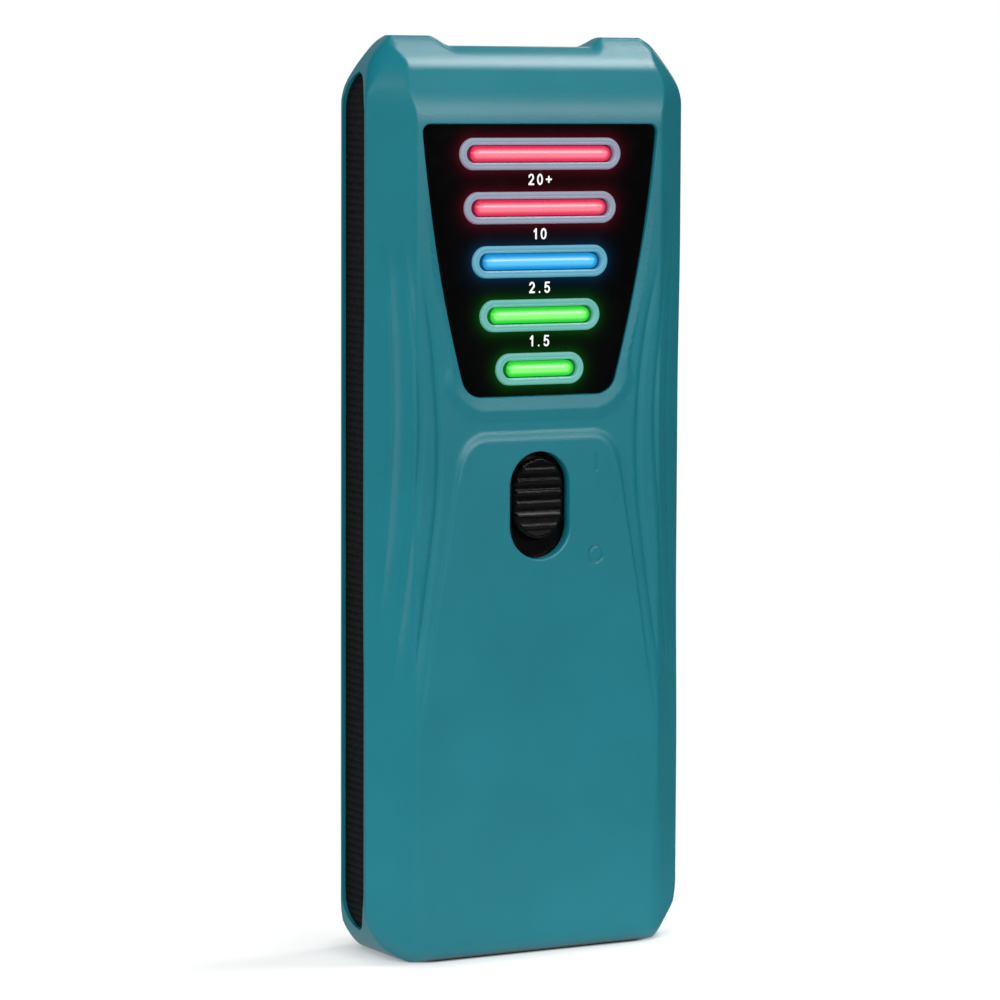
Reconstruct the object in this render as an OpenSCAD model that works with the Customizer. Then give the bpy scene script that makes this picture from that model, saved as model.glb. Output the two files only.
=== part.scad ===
// Handheld magnetic-field meter with a five-bar light display, a slide
// switch, rubber side grips and a battery bay for three AAA cells.
// X runs to the right, Y to the back and Z up. The origin is the middle of
// the base, half way between the front face and the back face.

/* [Body] */
// Height of the case
body_h = 145; // [140:1:152]
// Width of the case across the grips
body_w = 57; // [56:0.5:60]
// Thickness of the case, front face to back face
body_t = 20; // [20:0.5:23]
// Width of the flat front face between the two side bevels
face_w = 44; // [43:0.5:46]
// Height at which the front face starts to lean back
face_top = 134; // [131:0.5:135]
// Radius of the case's outline at its upper corners
top_r = 13; // [11:0.5:14]
// Radius of the case's outline at its lower corners
low_r = 9.5; // [9:0.5:12]
// Wall thickness of the shells
wall = 1.8; // [1.6:0.1:2]
// Depth of the front shell, from the front face to the joint line
front_depth = 9.2; // [9:0.1:9.6]

/* [Grips] */
// Width of the grip slot in each side
grip_w = 7.5; // [6.5:0.1:8]
// Depth of the grip slot
grip_depth = 1.5; // [1.3:0.1:1.7]
// How far the rubber sits below the case's side
grip_sink = 0.6; // [0.4:0.1:0.8]
// Distance from one rib of the grip to the next
grip_pitch = 1.05; // [1:0.05:2]

/* [Display] */
// Height of the display panel's top edge above the base
panel_top = 131.3; // [130:0.1:132]
// Height of the display panel's bottom edge above the base
panel_bottom = 88.7; // [88:0.1:90]
// Width of the display panel at the top
panel_top_w = 42.4; // [40:0.1:43]
// Width of the display panel at the bottom
panel_bottom_w = 26.2; // [25:0.1:28]
// Height of the top light bar above the base
bar_top_z = 126.65; // [126:0.05:127]
// Distance from one light bar to the next
bar_pitch = 8.42; // [8.2:0.01:8.5]
// Height of the raised collar round a light bar
collar_h = 5; // [4.6:0.1:5.2]
// Width of the collar's band
collar_band = 1.12; // [1:0.01:1.2]

/* [Switch] */
// Height of the middle of the switch opening above the base
switch_z = 71.4; // [70:0.1:73]
// Width of the switch opening
switch_w = 10.7; // [10:0.1:11]
// Length of the switch opening
switch_l = 17; // [16.5:0.1:18]
// Travel of the switch from on to off
switch_travel = 2.8; // [2.5:0.1:2.9]

/* [Power] */
// Diameter of a battery cell
cell_d = 10.5; // [10:0.1:10.5]
// Length of a battery cell, with its button
cell_l = 44.5; // [43.5:0.1:44.5]
// Distance from one cell to the next
cell_pitch = 11.2; // [11:0.1:11.4]

/* [Hidden] */
$fn = 48;
eps = 0.01;

teal = [0.10, 0.45, 0.48];
black = [0.05, 0.05, 0.055];
steel = [0.75, 0.76, 0.78];
glow = [[0.95, 0.2, 0.35], [0.95, 0.2, 0.35], [0.15, 0.6, 0.95], [0.2, 0.9, 0.2], [0.2, 0.9, 0.2]];

front_y = -body_t / 2;
back_y = body_t / 2;
joint_y = front_y + front_depth;
half_w = body_w / 2;
face_half = face_w / 2;

// grip band, centred on the joint line
band_front = joint_y - grip_w / 2;
band_back = joint_y + grip_w / 2;
grip_low = 4.6;
grip_high = body_h - 5.8;
grip_end = 6.5;
grip_floor = half_w - grip_depth;
side_wall = grip_depth + 1.6;
// height of the corner arcs, which meet the flat top and base at an angle
top_reach = top_r - 2.1;
low_reach = low_r - 0.5;

// scoop across the top, between the two raised shoulders
scoop_depth = 1.55;
scoop_half = 12.5;
scoop_ramp = 3.2;

// display
panel_recess = 1.15;
panel_sink = 0.65;
panel_bulge = 1.05;
collar_half = [14.39, 13.59, 12.12, 10.72, 7.86];
bar_gap = 0.12;

// circuit board
board_t = 1.6;
board_y = front_y + 5.8;
board_back = board_y + board_t;
board_half = 15.6;
board_low = 61;
board_high = 136.5;
board_holes = [[-13, 133], [13, 133], [-13, 66.5], [13, 66.5]];

// switch
knob_w = 9.2;
knob_l = 12.9;
knob_z = switch_z + 1.1;
case_z = knob_z - switch_travel / 2;
pin_z = [case_z - 4, case_z, case_z + 4];
plate_y = front_y + wall + 0.3;
plate_t = 1;

// battery bay, centred on the middle cell
bay_low = 9.5;
bay_high = 57.5;
bay_half = cell_pitch + cell_d / 2 + 0.45;
bay_wall = 1.2;
cell_y = back_y - wall - cell_d / 2 - 0.25;
bay_floor = cell_y - cell_d / 2 - 0.4;
spring_l = 3;
contact_t = 0.5;
tag_x = 13;
tag_y = bay_floor - bay_wall - 1.2;

// pickup coil on a ferrite core, behind the circuit board
coil_z = 120;
coil_y = board_back + 4.4;

// insulated leads, from the solder tags to the circuit board
lead_r = 0.55;
red_route = [[tag_x, tag_y - 0.3, bay_high + 0.2], [13.2, -6.1, 59.6], [12, -6.3, 61.4], [10.4, -5.8, 62.4],
             [10, -5, 62.6], [10, -4.25, 62.6]];
black_route = [[-tag_x, tag_y - 0.3, bay_low + 0.6], [-13.2, -6.1, 13], [-14.4, -6.3, 24], [-14.8, -6.2, 38],
               [-13.6, -6.2, 52], [-11, -6.1, 60.4], [-10.1, -5.4, 62.4], [-10, -4.25, 62.6]];

// battery door
door_half = bay_half + 1.3;
door_low = 8;
door_high = 59;
door_gap = 0.25;
door_plate = 1;
hook_x = [-cell_pitch / 2, cell_pitch / 2];
hook_w = 4;

// screws that join the shells
case_holes = [[-18.9, 122], [18.9, 122], [-14, 5], [14, 5]];
boss_r = 2.8;
screw_r = 1.1;

// ---- outlines ----

function arc(cx, cy, r, a0, a1, n) =
    [for (k = [0:n]) let (a = a0 + (a1 - a0) * k / n) [cx + r * cos(a), cy + r * sin(a)]];

// one corner of the case, moved in by "side" across and by "skin" upwards
function corner(r, reach, side, skin) = let (end = asin((reach - skin) / (r - skin)))
    [for (k = [0:14]) let (a = end * k / 14) [half_w - r + (r - side) * cos(a), (r - skin) * sin(a)]];

// case outline seen from the front, with its truncated corner arcs
function outline(side, skin) = let (
    top = [for (p = corner(top_r, top_reach, side, skin)) [p[0], body_h - top_reach + p[1]]],
    low = [for (p = corner(low_r, low_reach, side, skin)) [p[0], low_reach - p[1]]],
    right = concat([for (k = [len(low) - 1:-1:0]) low[k]], top)
) concat(right, [for (k = [len(right) - 1:-1:0]) [-right[k][0], right[k][1]]]);

// case profile seen from the side, moved in by s: [y, z] points
function profile(s) = [
    [front_y + s + 1.5, s], [front_y + s, s + 1.5],
    [front_y + s, face_top - s * 0.3], [front_y + 2.7 + s * 0.9, body_h - 4.4 - s * 0.7],
    [front_y + 5 + s * 0.6, body_h - 2.8 - s * 0.9], [joint_y - 1, body_h - s],
    [joint_y + 1, body_h - s], [back_y - 5 - s * 0.6, body_h - 2.8 - s * 0.9],
    [back_y - 2.7 - s * 0.9, body_h - 4.4 - s * 0.7], [back_y - s, face_top - s * 0.3],
    [back_y - s, s + 1.5], [back_y - s - 1.5, s]
];

// half an ellipse-ended slot, as [y, z] points
function slot_end(w, z, l, up) =
    [for (k = [0:16]) let (a = 180 * k / 16) [joint_y + w / 2 * cos(a), z + (up ? 1 : -1) * l * sin(a)]];

function slot_outline(w, z0, z1, l) = concat(
    slot_end(w, z1 - l, l, true),
    [for (k = [16:-1:0]) slot_end(w, z0 + l, l, false)[k]]
);

// half-width of the display at height t, from 0 at the bottom to 1 at the top
function panel_half(t) =
    (panel_bottom_w + (panel_top_w - panel_bottom_w) * t) / 2 + panel_bulge * 4 * t * (1 - t);

// display outline, moved in by s
function panel_points(s) = let (
    h = panel_top - panel_bottom,
    side = [for (k = [1:23]) let (t = k / 24) [panel_half(t) - s, panel_bottom + h * t]],
    top = [[panel_half(1) - s, panel_top - 1.3], [panel_half(1) - s - 0.4, panel_top - s - 0.4],
           [panel_half(1) - s - 1.3, panel_top - s]],
    low = [[panel_half(0) - s - 3, panel_bottom + s], [panel_half(0) - s - 1, panel_bottom + s + 0.6]],
    right = concat(low, side, top)
) concat(right, [for (k = [len(right) - 1:-1:0]) [-right[k][0], right[k][1]]]);

// ---- building blocks ----

// an [x, z] outline between two Y planes
module slab(y0, y1) {
    translate([0, y1, 0]) rotate([90, 0, 0]) linear_extrude(y1 - y0) children();
}

// a [y, z] outline between two X planes
module side_slab(x0, x1) {
    translate([x0, 0, 0]) rotate([90, 0, 90]) linear_extrude(x1 - x0) children();
}

// a round bar along Y
module rod(x, z, y0, y1, r) {
    translate([x, y1, z]) rotate([90, 0, 0]) cylinder(h = y1 - y0, r = r);
}

module block(x0, x1, y0, y1, z0, z1) {
    translate([x0, y0, z0]) cube([x1 - x0, y1 - y0, z1 - z0]);
}

// a round-ended slot in the XZ plane, lying along X
module stadium(half, h) {
    translate([h / 2 - half, 0]) circle(d = h);
    translate([half - h / 2, 0]) circle(d = h);
    square([2 * half - h, h], center = true);
}

// the case as one solid, moved in by "side" at the grips and "skin" elsewhere
module case_form(side, skin) intersection() {
    hull() {
        slab(band_front + skin, band_back - skin)
            intersection() {
                polygon(outline(side, skin));
                translate([-body_w / 2, 0]) square([body_w, body_h - 2 - skin]);
            }
        side_slab(skin * 0.6 - face_half, face_half - skin * 0.6) polygon(profile(skin));
    }
    slab(front_y, back_y) polygon(outline(side, skin));
}

module scoop() {
    w = scoop_half + scoop_ramp;
    z = body_h - scoop_depth;
    slab(front_y, back_y)
        polygon([[-scoop_half, z], [scoop_half, z], [w, body_h + 1], [-w, body_h + 1]]);
}

module grip_cut(w, floor_x, low, high) {
    for (s = [-1, 1])
        side_slab(s > 0 ? floor_x : -half_w - 1, s > 0 ? half_w + 1 : -floor_x)
            polygon(slot_outline(w, low, high, grip_end));
}

// the hollow case, on one side of the joint line
module half_case(y0, y1) {
    intersection() {
        difference() {
            case_form(0, 0);
            case_form(side_wall, wall);
            scoop();
            grip_cut(grip_w, grip_floor, grip_low, grip_high);
        }
        block(-half_w, half_w, y0, y1, 0, body_h);
    }
}

function bar_z(i) = bar_top_z - i * bar_pitch;

// ---- casing ----

module front_shell() color(teal) difference() {
    union() {
        difference() {
            half_case(front_y, joint_y);
            slab(front_y - 1, front_y + panel_recess) polygon(panel_points(0));
        }
        for (i = [0:4]) translate([0, 0, bar_z(i)])
            slab(front_y, front_y + wall) stadium(collar_half[i], collar_h);
        for (p = case_holes) rod(p[0], p[1], front_y + 2.2, joint_y, boss_r);
        for (p = board_holes) rod(p[0], p[1], front_y + wall - 0.3, board_y, 2.2);
    }
    for (i = [0:4]) translate([0, 0, bar_z(i)])
        slab(front_y - 1, front_y + wall + 1)
            stadium(collar_half[i] - collar_band, collar_h - 2 * collar_band);
    translate([0, 0, switch_z]) slab(front_y - 1, front_y + wall + 1)
        rotate(90) stadium(switch_l / 2, switch_w);
    for (p = case_holes) rod(p[0], p[1], front_y + 3.2, joint_y + 1, screw_r);
    for (p = board_holes) rod(p[0], p[1], front_y + wall + 0.4, board_y + 1, 0.7);
}

module bay_tray() {
    difference() {
        block(-bay_half - bay_wall, bay_half + bay_wall, bay_floor - bay_wall, back_y - wall + eps,
              bay_low - bay_wall, bay_high + bay_wall);
        block(-bay_half, bay_half, bay_floor, back_y, bay_low, bay_high);
        for (x = hook_x) block(x - hook_w / 2 - 0.4, x + hook_w / 2 + 0.4, back_y - 4, back_y,
                               bay_low - bay_wall - 1, bay_low + eps);
        block(tag_x - 1.6, tag_x + 1.6, tag_y, bay_floor + 1, bay_high - contact_t, bay_high + 0.1);
        block(-tag_x - 1.6, 1.6 - tag_x, tag_y, bay_floor + 1, bay_low - 0.1, bay_low + contact_t);
    }
    for (x = hook_x) block(x - 0.4, x + 0.4, bay_floor - eps, cell_y - 4.2, bay_low + 6, bay_high - 6);
}

module rear_shell() color(teal) difference() {
    union() {
        half_case(joint_y, back_y);
        bay_tray();
        for (p = case_holes) rod(p[0], p[1], joint_y, back_y - 1, boss_r);
    }
    block(-bay_half, bay_half, back_y - wall - 1, back_y + 1, bay_low, bay_high);
    block(-door_half, door_half, back_y - door_plate, back_y + 1, door_low, door_high);
    for (x = hook_x) block(x - hook_w / 2 - 0.4, x + hook_w / 2 + 0.4, back_y - 4, back_y + 1,
                           door_low, bay_low + eps);
    block(-6.5, 6.5, back_y - 0.8, back_y + 1, door_high - eps, door_high + 3);
    for (p = case_holes) {
        rod(p[0], p[1], joint_y - 1, back_y + 1, 1.45);
        rod(p[0], p[1], back_y - 5, back_y + 1, 2.4);
    }
}

module battery_door() color(teal) {
    block(door_gap - door_half, door_half - door_gap, back_y - door_plate, back_y,
          door_low + door_gap, door_high - door_gap);
    difference() {
        block(0.3 - bay_half, bay_half - 0.3, back_y - wall + 0.05, back_y - door_plate + eps,
              bay_low + 0.4, bay_high - 0.4);
        block(2 - bay_half, bay_half - 2, 0, back_y - door_plate, bay_low + 3, bay_high - 3);
    }
    // hooks that reach under the case below the door
    for (x = hook_x) {
        block(x - hook_w / 2, x + hook_w / 2, back_y - 3.1, back_y - 2, door_low - 2, bay_low + 2);
        block(x - hook_w / 2, x + hook_w / 2, back_y - 3.1, back_y - door_plate, bay_low + 0.4, bay_low + 2);
    }
    // finger tab over the notch above the door
    block(-6, 6, back_y - 0.6, back_y, door_high - door_gap - eps, door_high + 1.6);
}

module display_panel() color(black) difference() {
    slab(front_y + panel_sink, front_y + panel_recess) polygon(panel_points(0.1));
    for (i = [0:4]) translate([0, 0, bar_z(i)])
        slab(front_y - 1, 0) stadium(collar_half[i] + 0.1, collar_h + 0.2);
}

module light_bar(i) color(glow[i]) translate([0, 0, bar_z(i)]) {
    half = collar_half[i] - collar_band - bar_gap;
    h = collar_h - 2 * (collar_band + bar_gap);
    slab(front_y + 0.15, front_y + wall + 0.1) stadium(half, h);
    slab(front_y + wall + 0.05, front_y + wall + 1.2) stadium(half + 1, h + 2);
}

// a pair of surface-mounted lamps behind a light bar
module led_pair(i) translate([0, 0, bar_z(i)])
    for (s = [-1, 1]) translate([s * (collar_half[i] - 3) / 2, 0, 0]) {
        color([0.95, 0.95, 0.9]) difference() {
            block(-1.75, 1.75, board_y - 1.9, board_y, -1.4, 1.4);
            rod(0, 0, board_y - 2.9, board_y - 1.2, 1.15);
        }
        color(glow[i]) rod(0, 0, board_y - 1.7, board_y - 1.2, 1.15);
    }

// ribbed rubber strip in the slot of one side
module grip(s) color(black) intersection() {
    case_form(grip_sink, grip_sink);
    difference() {
        side_slab(s > 0 ? grip_floor : -half_w, s > 0 ? half_w : -grip_floor)
            polygon(slot_outline(grip_w - 0.1, grip_low + 0.1, grip_high - 0.1, grip_end));
        for (z = [grip_low + 2 : grip_pitch : grip_high - 2])
            translate([s * (half_w - grip_sink), joint_y, z]) rotate([90, 45, 0])
                cube([0.5, 0.5, grip_w + 1], center = true);
    }
}

// ---- electronics ----

module main_pcb() color([0.05, 0.35, 0.2]) difference() {
    block(-board_half, board_half, board_y, board_back, board_low, board_high);
    for (p = board_holes) rod(p[0], p[1], board_y - 1, board_back + 1, 1.1);
    for (x = [-1, 1]) rod(x * 10, board_low + 1.6, board_y - 1, board_back + 1, 0.5);
    for (z = pin_z) rod(0, z, board_y - 1, board_back + 1, 0.45);
}

// low slide switch: a folded steel case with a slot for the stem
module switch_case() color(steel) {
    difference() {
        block(-3.2, 3.2, board_y - 2.2, board_y, case_z - 6.2, case_z + 6.2);
        block(-2.6, 2.6, board_y - 1.9, board_y - 0.4, case_z - 5.6, case_z + 5.6);
        block(-1.2, 1.2, board_y - 3, board_y - 1, case_z - 3.2, case_z + 3.2);
    }
    for (z = pin_z) rod(0, z, board_y - 0.41, board_back + 0.8, 0.35);
}

module switch_stem() color(black) {
    block(-2.2, 2.2, board_y - 1.55, board_y - 0.75, knob_z - 2.2, knob_z + 2.2);
    block(-0.8, 0.8, plate_y + 0.2, board_y - 0.8, knob_z - 1.3, knob_z + 1.3);
}

// thumb piece: a wide plate behind the case with a ribbed pad in the opening
module switch_knob() color(black) difference() {
    union() {
        block(-7.2, 7.2, plate_y, plate_y + plate_t, knob_z - 11.6, knob_z + 11.6);
        translate([0, 0, knob_z]) slab(front_y + 0.5, plate_y + eps) rotate(90) stadium(knob_l / 2, knob_w);
        translate([0, 0, knob_z]) for (k = [-2:2])
            block(-3.9, 3.9, front_y + 0.05, front_y + 0.6, k * 1.7 - 0.4, k * 1.7 + 0.4);
    }
    block(-0.8, 0.8, plate_y + 0.2, plate_y + plate_t + 1, knob_z - 1.3, knob_z + 1.3);
}

module lay_x(x, z, h, r) {
    translate([x - h / 2, coil_y, z]) rotate([0, 90, 0]) cylinder(h = h, r = r);
}

// ferrite rod with two cheeks, and its pickup winding
module coil_core() color([0.2, 0.2, 0.22]) {
    lay_x(0, coil_z, 25, 2);
    for (x = [-9.5, 9.5]) lay_x(x, coil_z, 1.2, 4);
    for (x = [-9.5, 9.5]) block(x - 0.6, x + 0.6, board_back, coil_y, coil_z - 1.5, coil_z + 1.5);
}

module coil_winding() color([0.72, 0.4, 0.15]) difference() {
    lay_x(0, coil_z, 17.8, 3.5);
    lay_x(0, coil_z, 19, 2);
}

module amplifier_ic() {
    color([0.08, 0.08, 0.08]) block(-1.95, 1.95, board_back + 0.15, board_back + 1.6, 98.65, 107.35);
    color(steel) for (k = [0:6]) for (s = [-1, 1]) {
        z = 103 + (k - 3) * 1.27;
        block(s > 0 ? 1.9 : -2.6, s > 0 ? 2.6 : -1.9, board_back + 0.6, board_back + 0.8, z - 0.2, z + 0.2);
        block(s > 0 ? 2.4 : -2.6, s > 0 ? 2.6 : -2.4, board_back, board_back + 0.8, z - 0.2, z + 0.2);
        block(s > 0 ? 2.4 : -3.1, s > 0 ? 3.1 : -2.4, board_back, board_back + 0.2, z - 0.2, z + 0.2);
    }
}

// square calibration trimmer with a slotted brass screw
module gain_trimmer() {
    color([0.1, 0.3, 0.75]) difference() {
        block(6.5, 13, board_back, board_back + 4.5, 85, 91.5);
        rod(9.75, 88.25, board_back + 3.5, board_back + 5, 1.6);
    }
    color([0.8, 0.65, 0.3]) difference() {
        rod(9.75, 88.25, board_back + 3.4, board_back + 4.4, 1.5);
        block(8.5, 11, board_back + 4, board_back + 5, 88, 88.5);
    }
}

module smoothing_capacitor() translate([-10, board_back, 88]) {
    color([0.1, 0.1, 0.12]) block(-3.3, 3.3, 0, 1, -3.3, 3.3);
    color(steel) rod(0, 0, 0.9, 6.4, 3.1);
}

module chip(x, z, body) {
    color(body) block(x - 0.7, x + 0.7, board_back, board_back + 0.6, z - 0.6, z + 0.6);
    for (s = [-1, 1]) color(steel)
        block(x + s * 0.85 - 0.2, x + s * 0.85 + 0.2, board_back, board_back + 0.65, z - 0.65, z + 0.65);
}

module chip_resistors()
    for (row = [0:5]) for (s = [-1, 1]) chip(s * 9, 96 + row * 2.6, [0.1, 0.1, 0.1]);

module chip_capacitors()
    for (row = [0:2]) for (s = [-1, 1]) chip(s * 13.5, 96 + row * 3.2, [0.7, 0.55, 0.35]);

// ---- power ----

// cells 1 and 3 have their button up, cell 2 has it down
module cell(i) {
    up = i != 1;
    translate([(i - 1) * cell_pitch, cell_y, up ? bay_low + spring_l : bay_high - spring_l])
        mirror([0, 0, up ? 0 : 1]) {
            color([0.15, 0.15, 0.17]) cylinder(h = cell_l - 1.4, d = cell_d);
            color(steel) translate([0, 0, cell_l - 1.4 - eps]) cylinder(h = 0.4, d = cell_d - 1.5);
            color(steel) translate([0, 0, cell_l - 1 - eps]) cylinder(h = 1 + eps, d = 3.8);
        }
}

// a round wire through the points of a route; "side" is never along the route
module wire(route, r, side) {
    sides = 8;
    last = len(route) - 1;
    ring = [for (k = [0:last]) let (
        way = route[min(k + 1, last)] - route[max(k - 1, 0)],
        u = cross(way, side) / norm(cross(way, side)),
        v = cross(way, u) / norm(way)
    ) [for (j = [0:sides - 1]) let (a = 360 * j / sides) route[k] + r * (cos(a) * u + sin(a) * v)]];
    points = [for (r = ring) for (p = r) p];
    skin = [for (k = [0:last - 1]) for (j = [0:sides - 1]) let (n = (j + 1) % sides)
        [k * sides + n, k * sides + j, (k + 1) * sides + j, (k + 1) * sides + n]];
    start = [for (j = [0:sides - 1]) j];
    finish = [for (j = [sides - 1:-1:0]) last * sides + j];
    polyhedron(points, concat([start], skin, [finish]));
}

// points of a cone-shaped spring that stands on z = 0
function spring_route(turns, r0, r1, h, wire_r) = [for (k = [0:12 * turns]) let (
    t = k / (12 * turns), r = r0 + (r1 - r0) * t
) [r * cos(30 * k), r * sin(30 * k), wire_r + (h - 2 * wire_r) * t]];

module cone_spring() {
    wire(spring_route(3, 3.6, 2, spring_l - contact_t - 0.02, 0.3), 0.3, [0, 0, 1]);
}

module contact_springs() color(steel) {
    for (i = [0, 2]) translate([(i - 1) * cell_pitch, cell_y, bay_low + contact_t]) cone_spring();
    translate([0, cell_y, bay_high - contact_t]) mirror([0, 0, 1]) cone_spring();
}

// sheet contact that spans cells x0 to x1, in cell pitches from the middle
module contact(x0, x1, z) {
    block(x0 * cell_pitch - 4.3, x1 * cell_pitch + 4.3, cell_y - 4.4, cell_y + 3.2, z, z + contact_t - 0.02);
}

// solder tag of an end contact, through the floor of the bay
module tag(x, z) {
    block(x - 1.5, x + 1.5, tag_y, cell_y - 4, z, z + contact_t - 0.02);
}

module contacts_top() color(steel) {
    contact(-1, 0, bay_high - contact_t + 0.02);
    contact(1, 1, bay_high - contact_t + 0.02);
    tag(tag_x, bay_high - contact_t + 0.02);
}

module contacts_bottom() color(steel) {
    contact(-1, -1, bay_low);
    contact(0, 1, bay_low);
    tag(-tag_x, bay_low);
}

// points of a smooth curve through the points of a route
function curve(p, n) = concat([for (k = [0:len(p) - 2]) for (j = [0:n - 1]) let (
    t = j / n, a = p[max(k - 1, 0)], b = p[k], c = p[k + 1], d = p[min(k + 2, len(p) - 1)]
) (2 * b + (c - a) * t + (2 * a - 5 * b + 4 * c - d) * t * t + (3 * b - a - 3 * c + d) * t * t * t) / 2],
    [p[len(p) - 1]]);

module lead_red() color([0.8, 0.1, 0.1]) wire(curve(red_route, 3), lead_r, [1, 0, 0.4]);
module lead_black() color(black) wire(curve(black_route, 3), lead_r, [1, 0, 0.4]);

// ---- fasteners ----

// self-tapping screw along Y, head towards the back
module screw(x, z, head_y, shank_l, head_r, head_h, r) {
    difference() {
        union() {
            rod(x, z, head_y - head_h, head_y, head_r);
            rod(x, z, head_y - head_h - shank_l, head_y - head_h + eps, r);
        }
        for (a = [0, 90]) translate([x, head_y, z]) rotate([0, a, 0])
            cube([head_r * 1.2, head_h, 0.5], center = true);
    }
}

module case_screws() color(steel)
    for (p = case_holes) screw(p[0], p[1], back_y - 3.4, 11, 2.2, 1.6, screw_r);

module board_screws() color(steel)
    for (p = board_holes) screw(p[0], p[1], board_back + 1, 4.6, 1.7, 1, 0.7);

front_shell();
rear_shell();
battery_door();
display_panel();
for (i = [1:5]) light_bar(i - 1);
for (i = [1:5]) led_pair(i - 1);
grip(-1);  // grip_left
grip(1);  // grip_right
main_pcb();
switch_case();
switch_stem();
switch_knob();
coil_core();
coil_winding();
amplifier_ic();
gain_trimmer();
smoothing_capacitor();
chip_resistors();
chip_capacitors();
for (i = [1:3]) cell(i - 1);
contact_springs();
contacts_top();
contacts_bottom();
lead_red();
lead_black();
case_screws();
board_screws();
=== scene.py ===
"""Looks of the handheld magnetic-field meter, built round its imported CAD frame.

Lengths in this script are millimetres. MM turns them into the frame's metres.
The casing is drawn as relief: "depth" is the distance from the joint line
between the two shells, forwards for the front shell and backwards for the rear.
"""
import math

import bpy
import numpy as np
from mathutils import Matrix, Vector
from mathutils.geometry import delaunay_2d_cdt


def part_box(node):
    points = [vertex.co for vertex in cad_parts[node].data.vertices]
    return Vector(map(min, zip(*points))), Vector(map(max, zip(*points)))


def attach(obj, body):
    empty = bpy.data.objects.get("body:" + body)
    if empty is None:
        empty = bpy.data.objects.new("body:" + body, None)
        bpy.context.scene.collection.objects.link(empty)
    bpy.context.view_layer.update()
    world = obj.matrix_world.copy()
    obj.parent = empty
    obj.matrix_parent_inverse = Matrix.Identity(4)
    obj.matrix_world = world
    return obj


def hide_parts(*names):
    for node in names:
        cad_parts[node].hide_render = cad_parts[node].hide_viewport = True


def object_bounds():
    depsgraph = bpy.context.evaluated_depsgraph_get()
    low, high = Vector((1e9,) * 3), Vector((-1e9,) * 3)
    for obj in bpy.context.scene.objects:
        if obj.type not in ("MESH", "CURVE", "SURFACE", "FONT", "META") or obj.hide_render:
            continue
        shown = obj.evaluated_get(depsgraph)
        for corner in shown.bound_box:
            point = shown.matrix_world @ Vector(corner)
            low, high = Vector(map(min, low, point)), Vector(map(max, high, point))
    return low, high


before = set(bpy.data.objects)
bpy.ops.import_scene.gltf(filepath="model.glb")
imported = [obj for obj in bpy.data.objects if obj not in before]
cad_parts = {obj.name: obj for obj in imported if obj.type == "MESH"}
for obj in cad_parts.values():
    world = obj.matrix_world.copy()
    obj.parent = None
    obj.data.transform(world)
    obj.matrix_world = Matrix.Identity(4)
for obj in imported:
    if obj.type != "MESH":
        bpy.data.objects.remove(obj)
cad_low, cad_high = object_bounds()
MM = 0.001


def node_box(name):
    """Lowest and highest corner of a CAD node, in millimetres."""
    low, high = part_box(name)
    return [c / MM for c in low], [c / MM for c in high]


# ---- sizes that the frame gives ----

HALF_W = cad_high.x / MM
HEIGHT = cad_high.z / MM
FRONT_Y = cad_low.y / MM
BACK_Y = cad_high.y / MM
JOINT_Y = node_box("front_shell")[1][1]
FRONT_DEPTH = JOINT_Y - FRONT_Y
REAR_DEPTH = BACK_Y - JOINT_Y

# ---- sizes of the casing's form ----

FACE_HALF = 22.0          # half-width of the flat face between the side bevels
TOP_R, TOP_REACH = 13.0, 10.9     # upper corners: radius, and height of the arc
LOW_R, LOW_REACH = 9.5, 9.0       # lower corners, whose arcs also end short of level
WALL = 1.8
SIDE_WALL = 3.2
SLOT_HALF = 3.75          # half-width of the grip slot
SLOT_FLOOR = 26.6
SLOT_LOW, SLOT_HIGH, SLOT_END = 4.6, 139.2, 6.5
BAND = SLOT_HALF + 0.3    # depth at which the side bevels start
SCOOP_HALF, SCOOP_RAMP, SCOOP_DEPTH = 12.5, 3.2, 1.55
LEAN_LOW, LEAN_HIGH, LEAN_SLOPE = 134.2, 140.6, 0.43
RIDGE = 0.86              # half-thickness of the top edge
FOOT_R, CROWN_R = 2.4, 1.6        # radius of the round at the base, and round the top
FOOT_FADE, CROWN_FADE = (1.5, 5), (133, 7)    # height where each round starts to change, and over how much
TOP_BAND_DROP, TOP_BAND_FADE = 2.0, (136.5, 6.5)    # the side bevels deepen towards the top
GRID_FRONT, GRID_REAR, GRID_INSIDE, GRID_SEAT, GRID_BAY = 0.45, 0.7, 1.4, 1.2, 2.0   # spacing of mesh points

# ---- sewing meshes ----


def in_scene(name, data):
    """A new object in the scene."""
    item = bpy.data.objects.new(name, data)
    bpy.context.collection.objects.link(item)
    return item


def turned_over(corners, normals):
    """Whether a face is wound against the normals given for it."""
    (ax, ay, az), (bx, by, bz) = corners[0], corners[len(corners) // 3 or 1]
    cx, cy, cz = corners[-1]
    ux, uy, uz, vx, vy, vz = bx - ax, by - ay, bz - az, cx - ax, cy - ay, cz - az
    nx, ny, nz = (sum(float(n[k]) for n in normals) for k in range(3))
    return (uy * vz - uz * vy) * nx + (uz * vx - ux * vz) * ny + (ux * vy - uy * vx) * nz < 0


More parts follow.
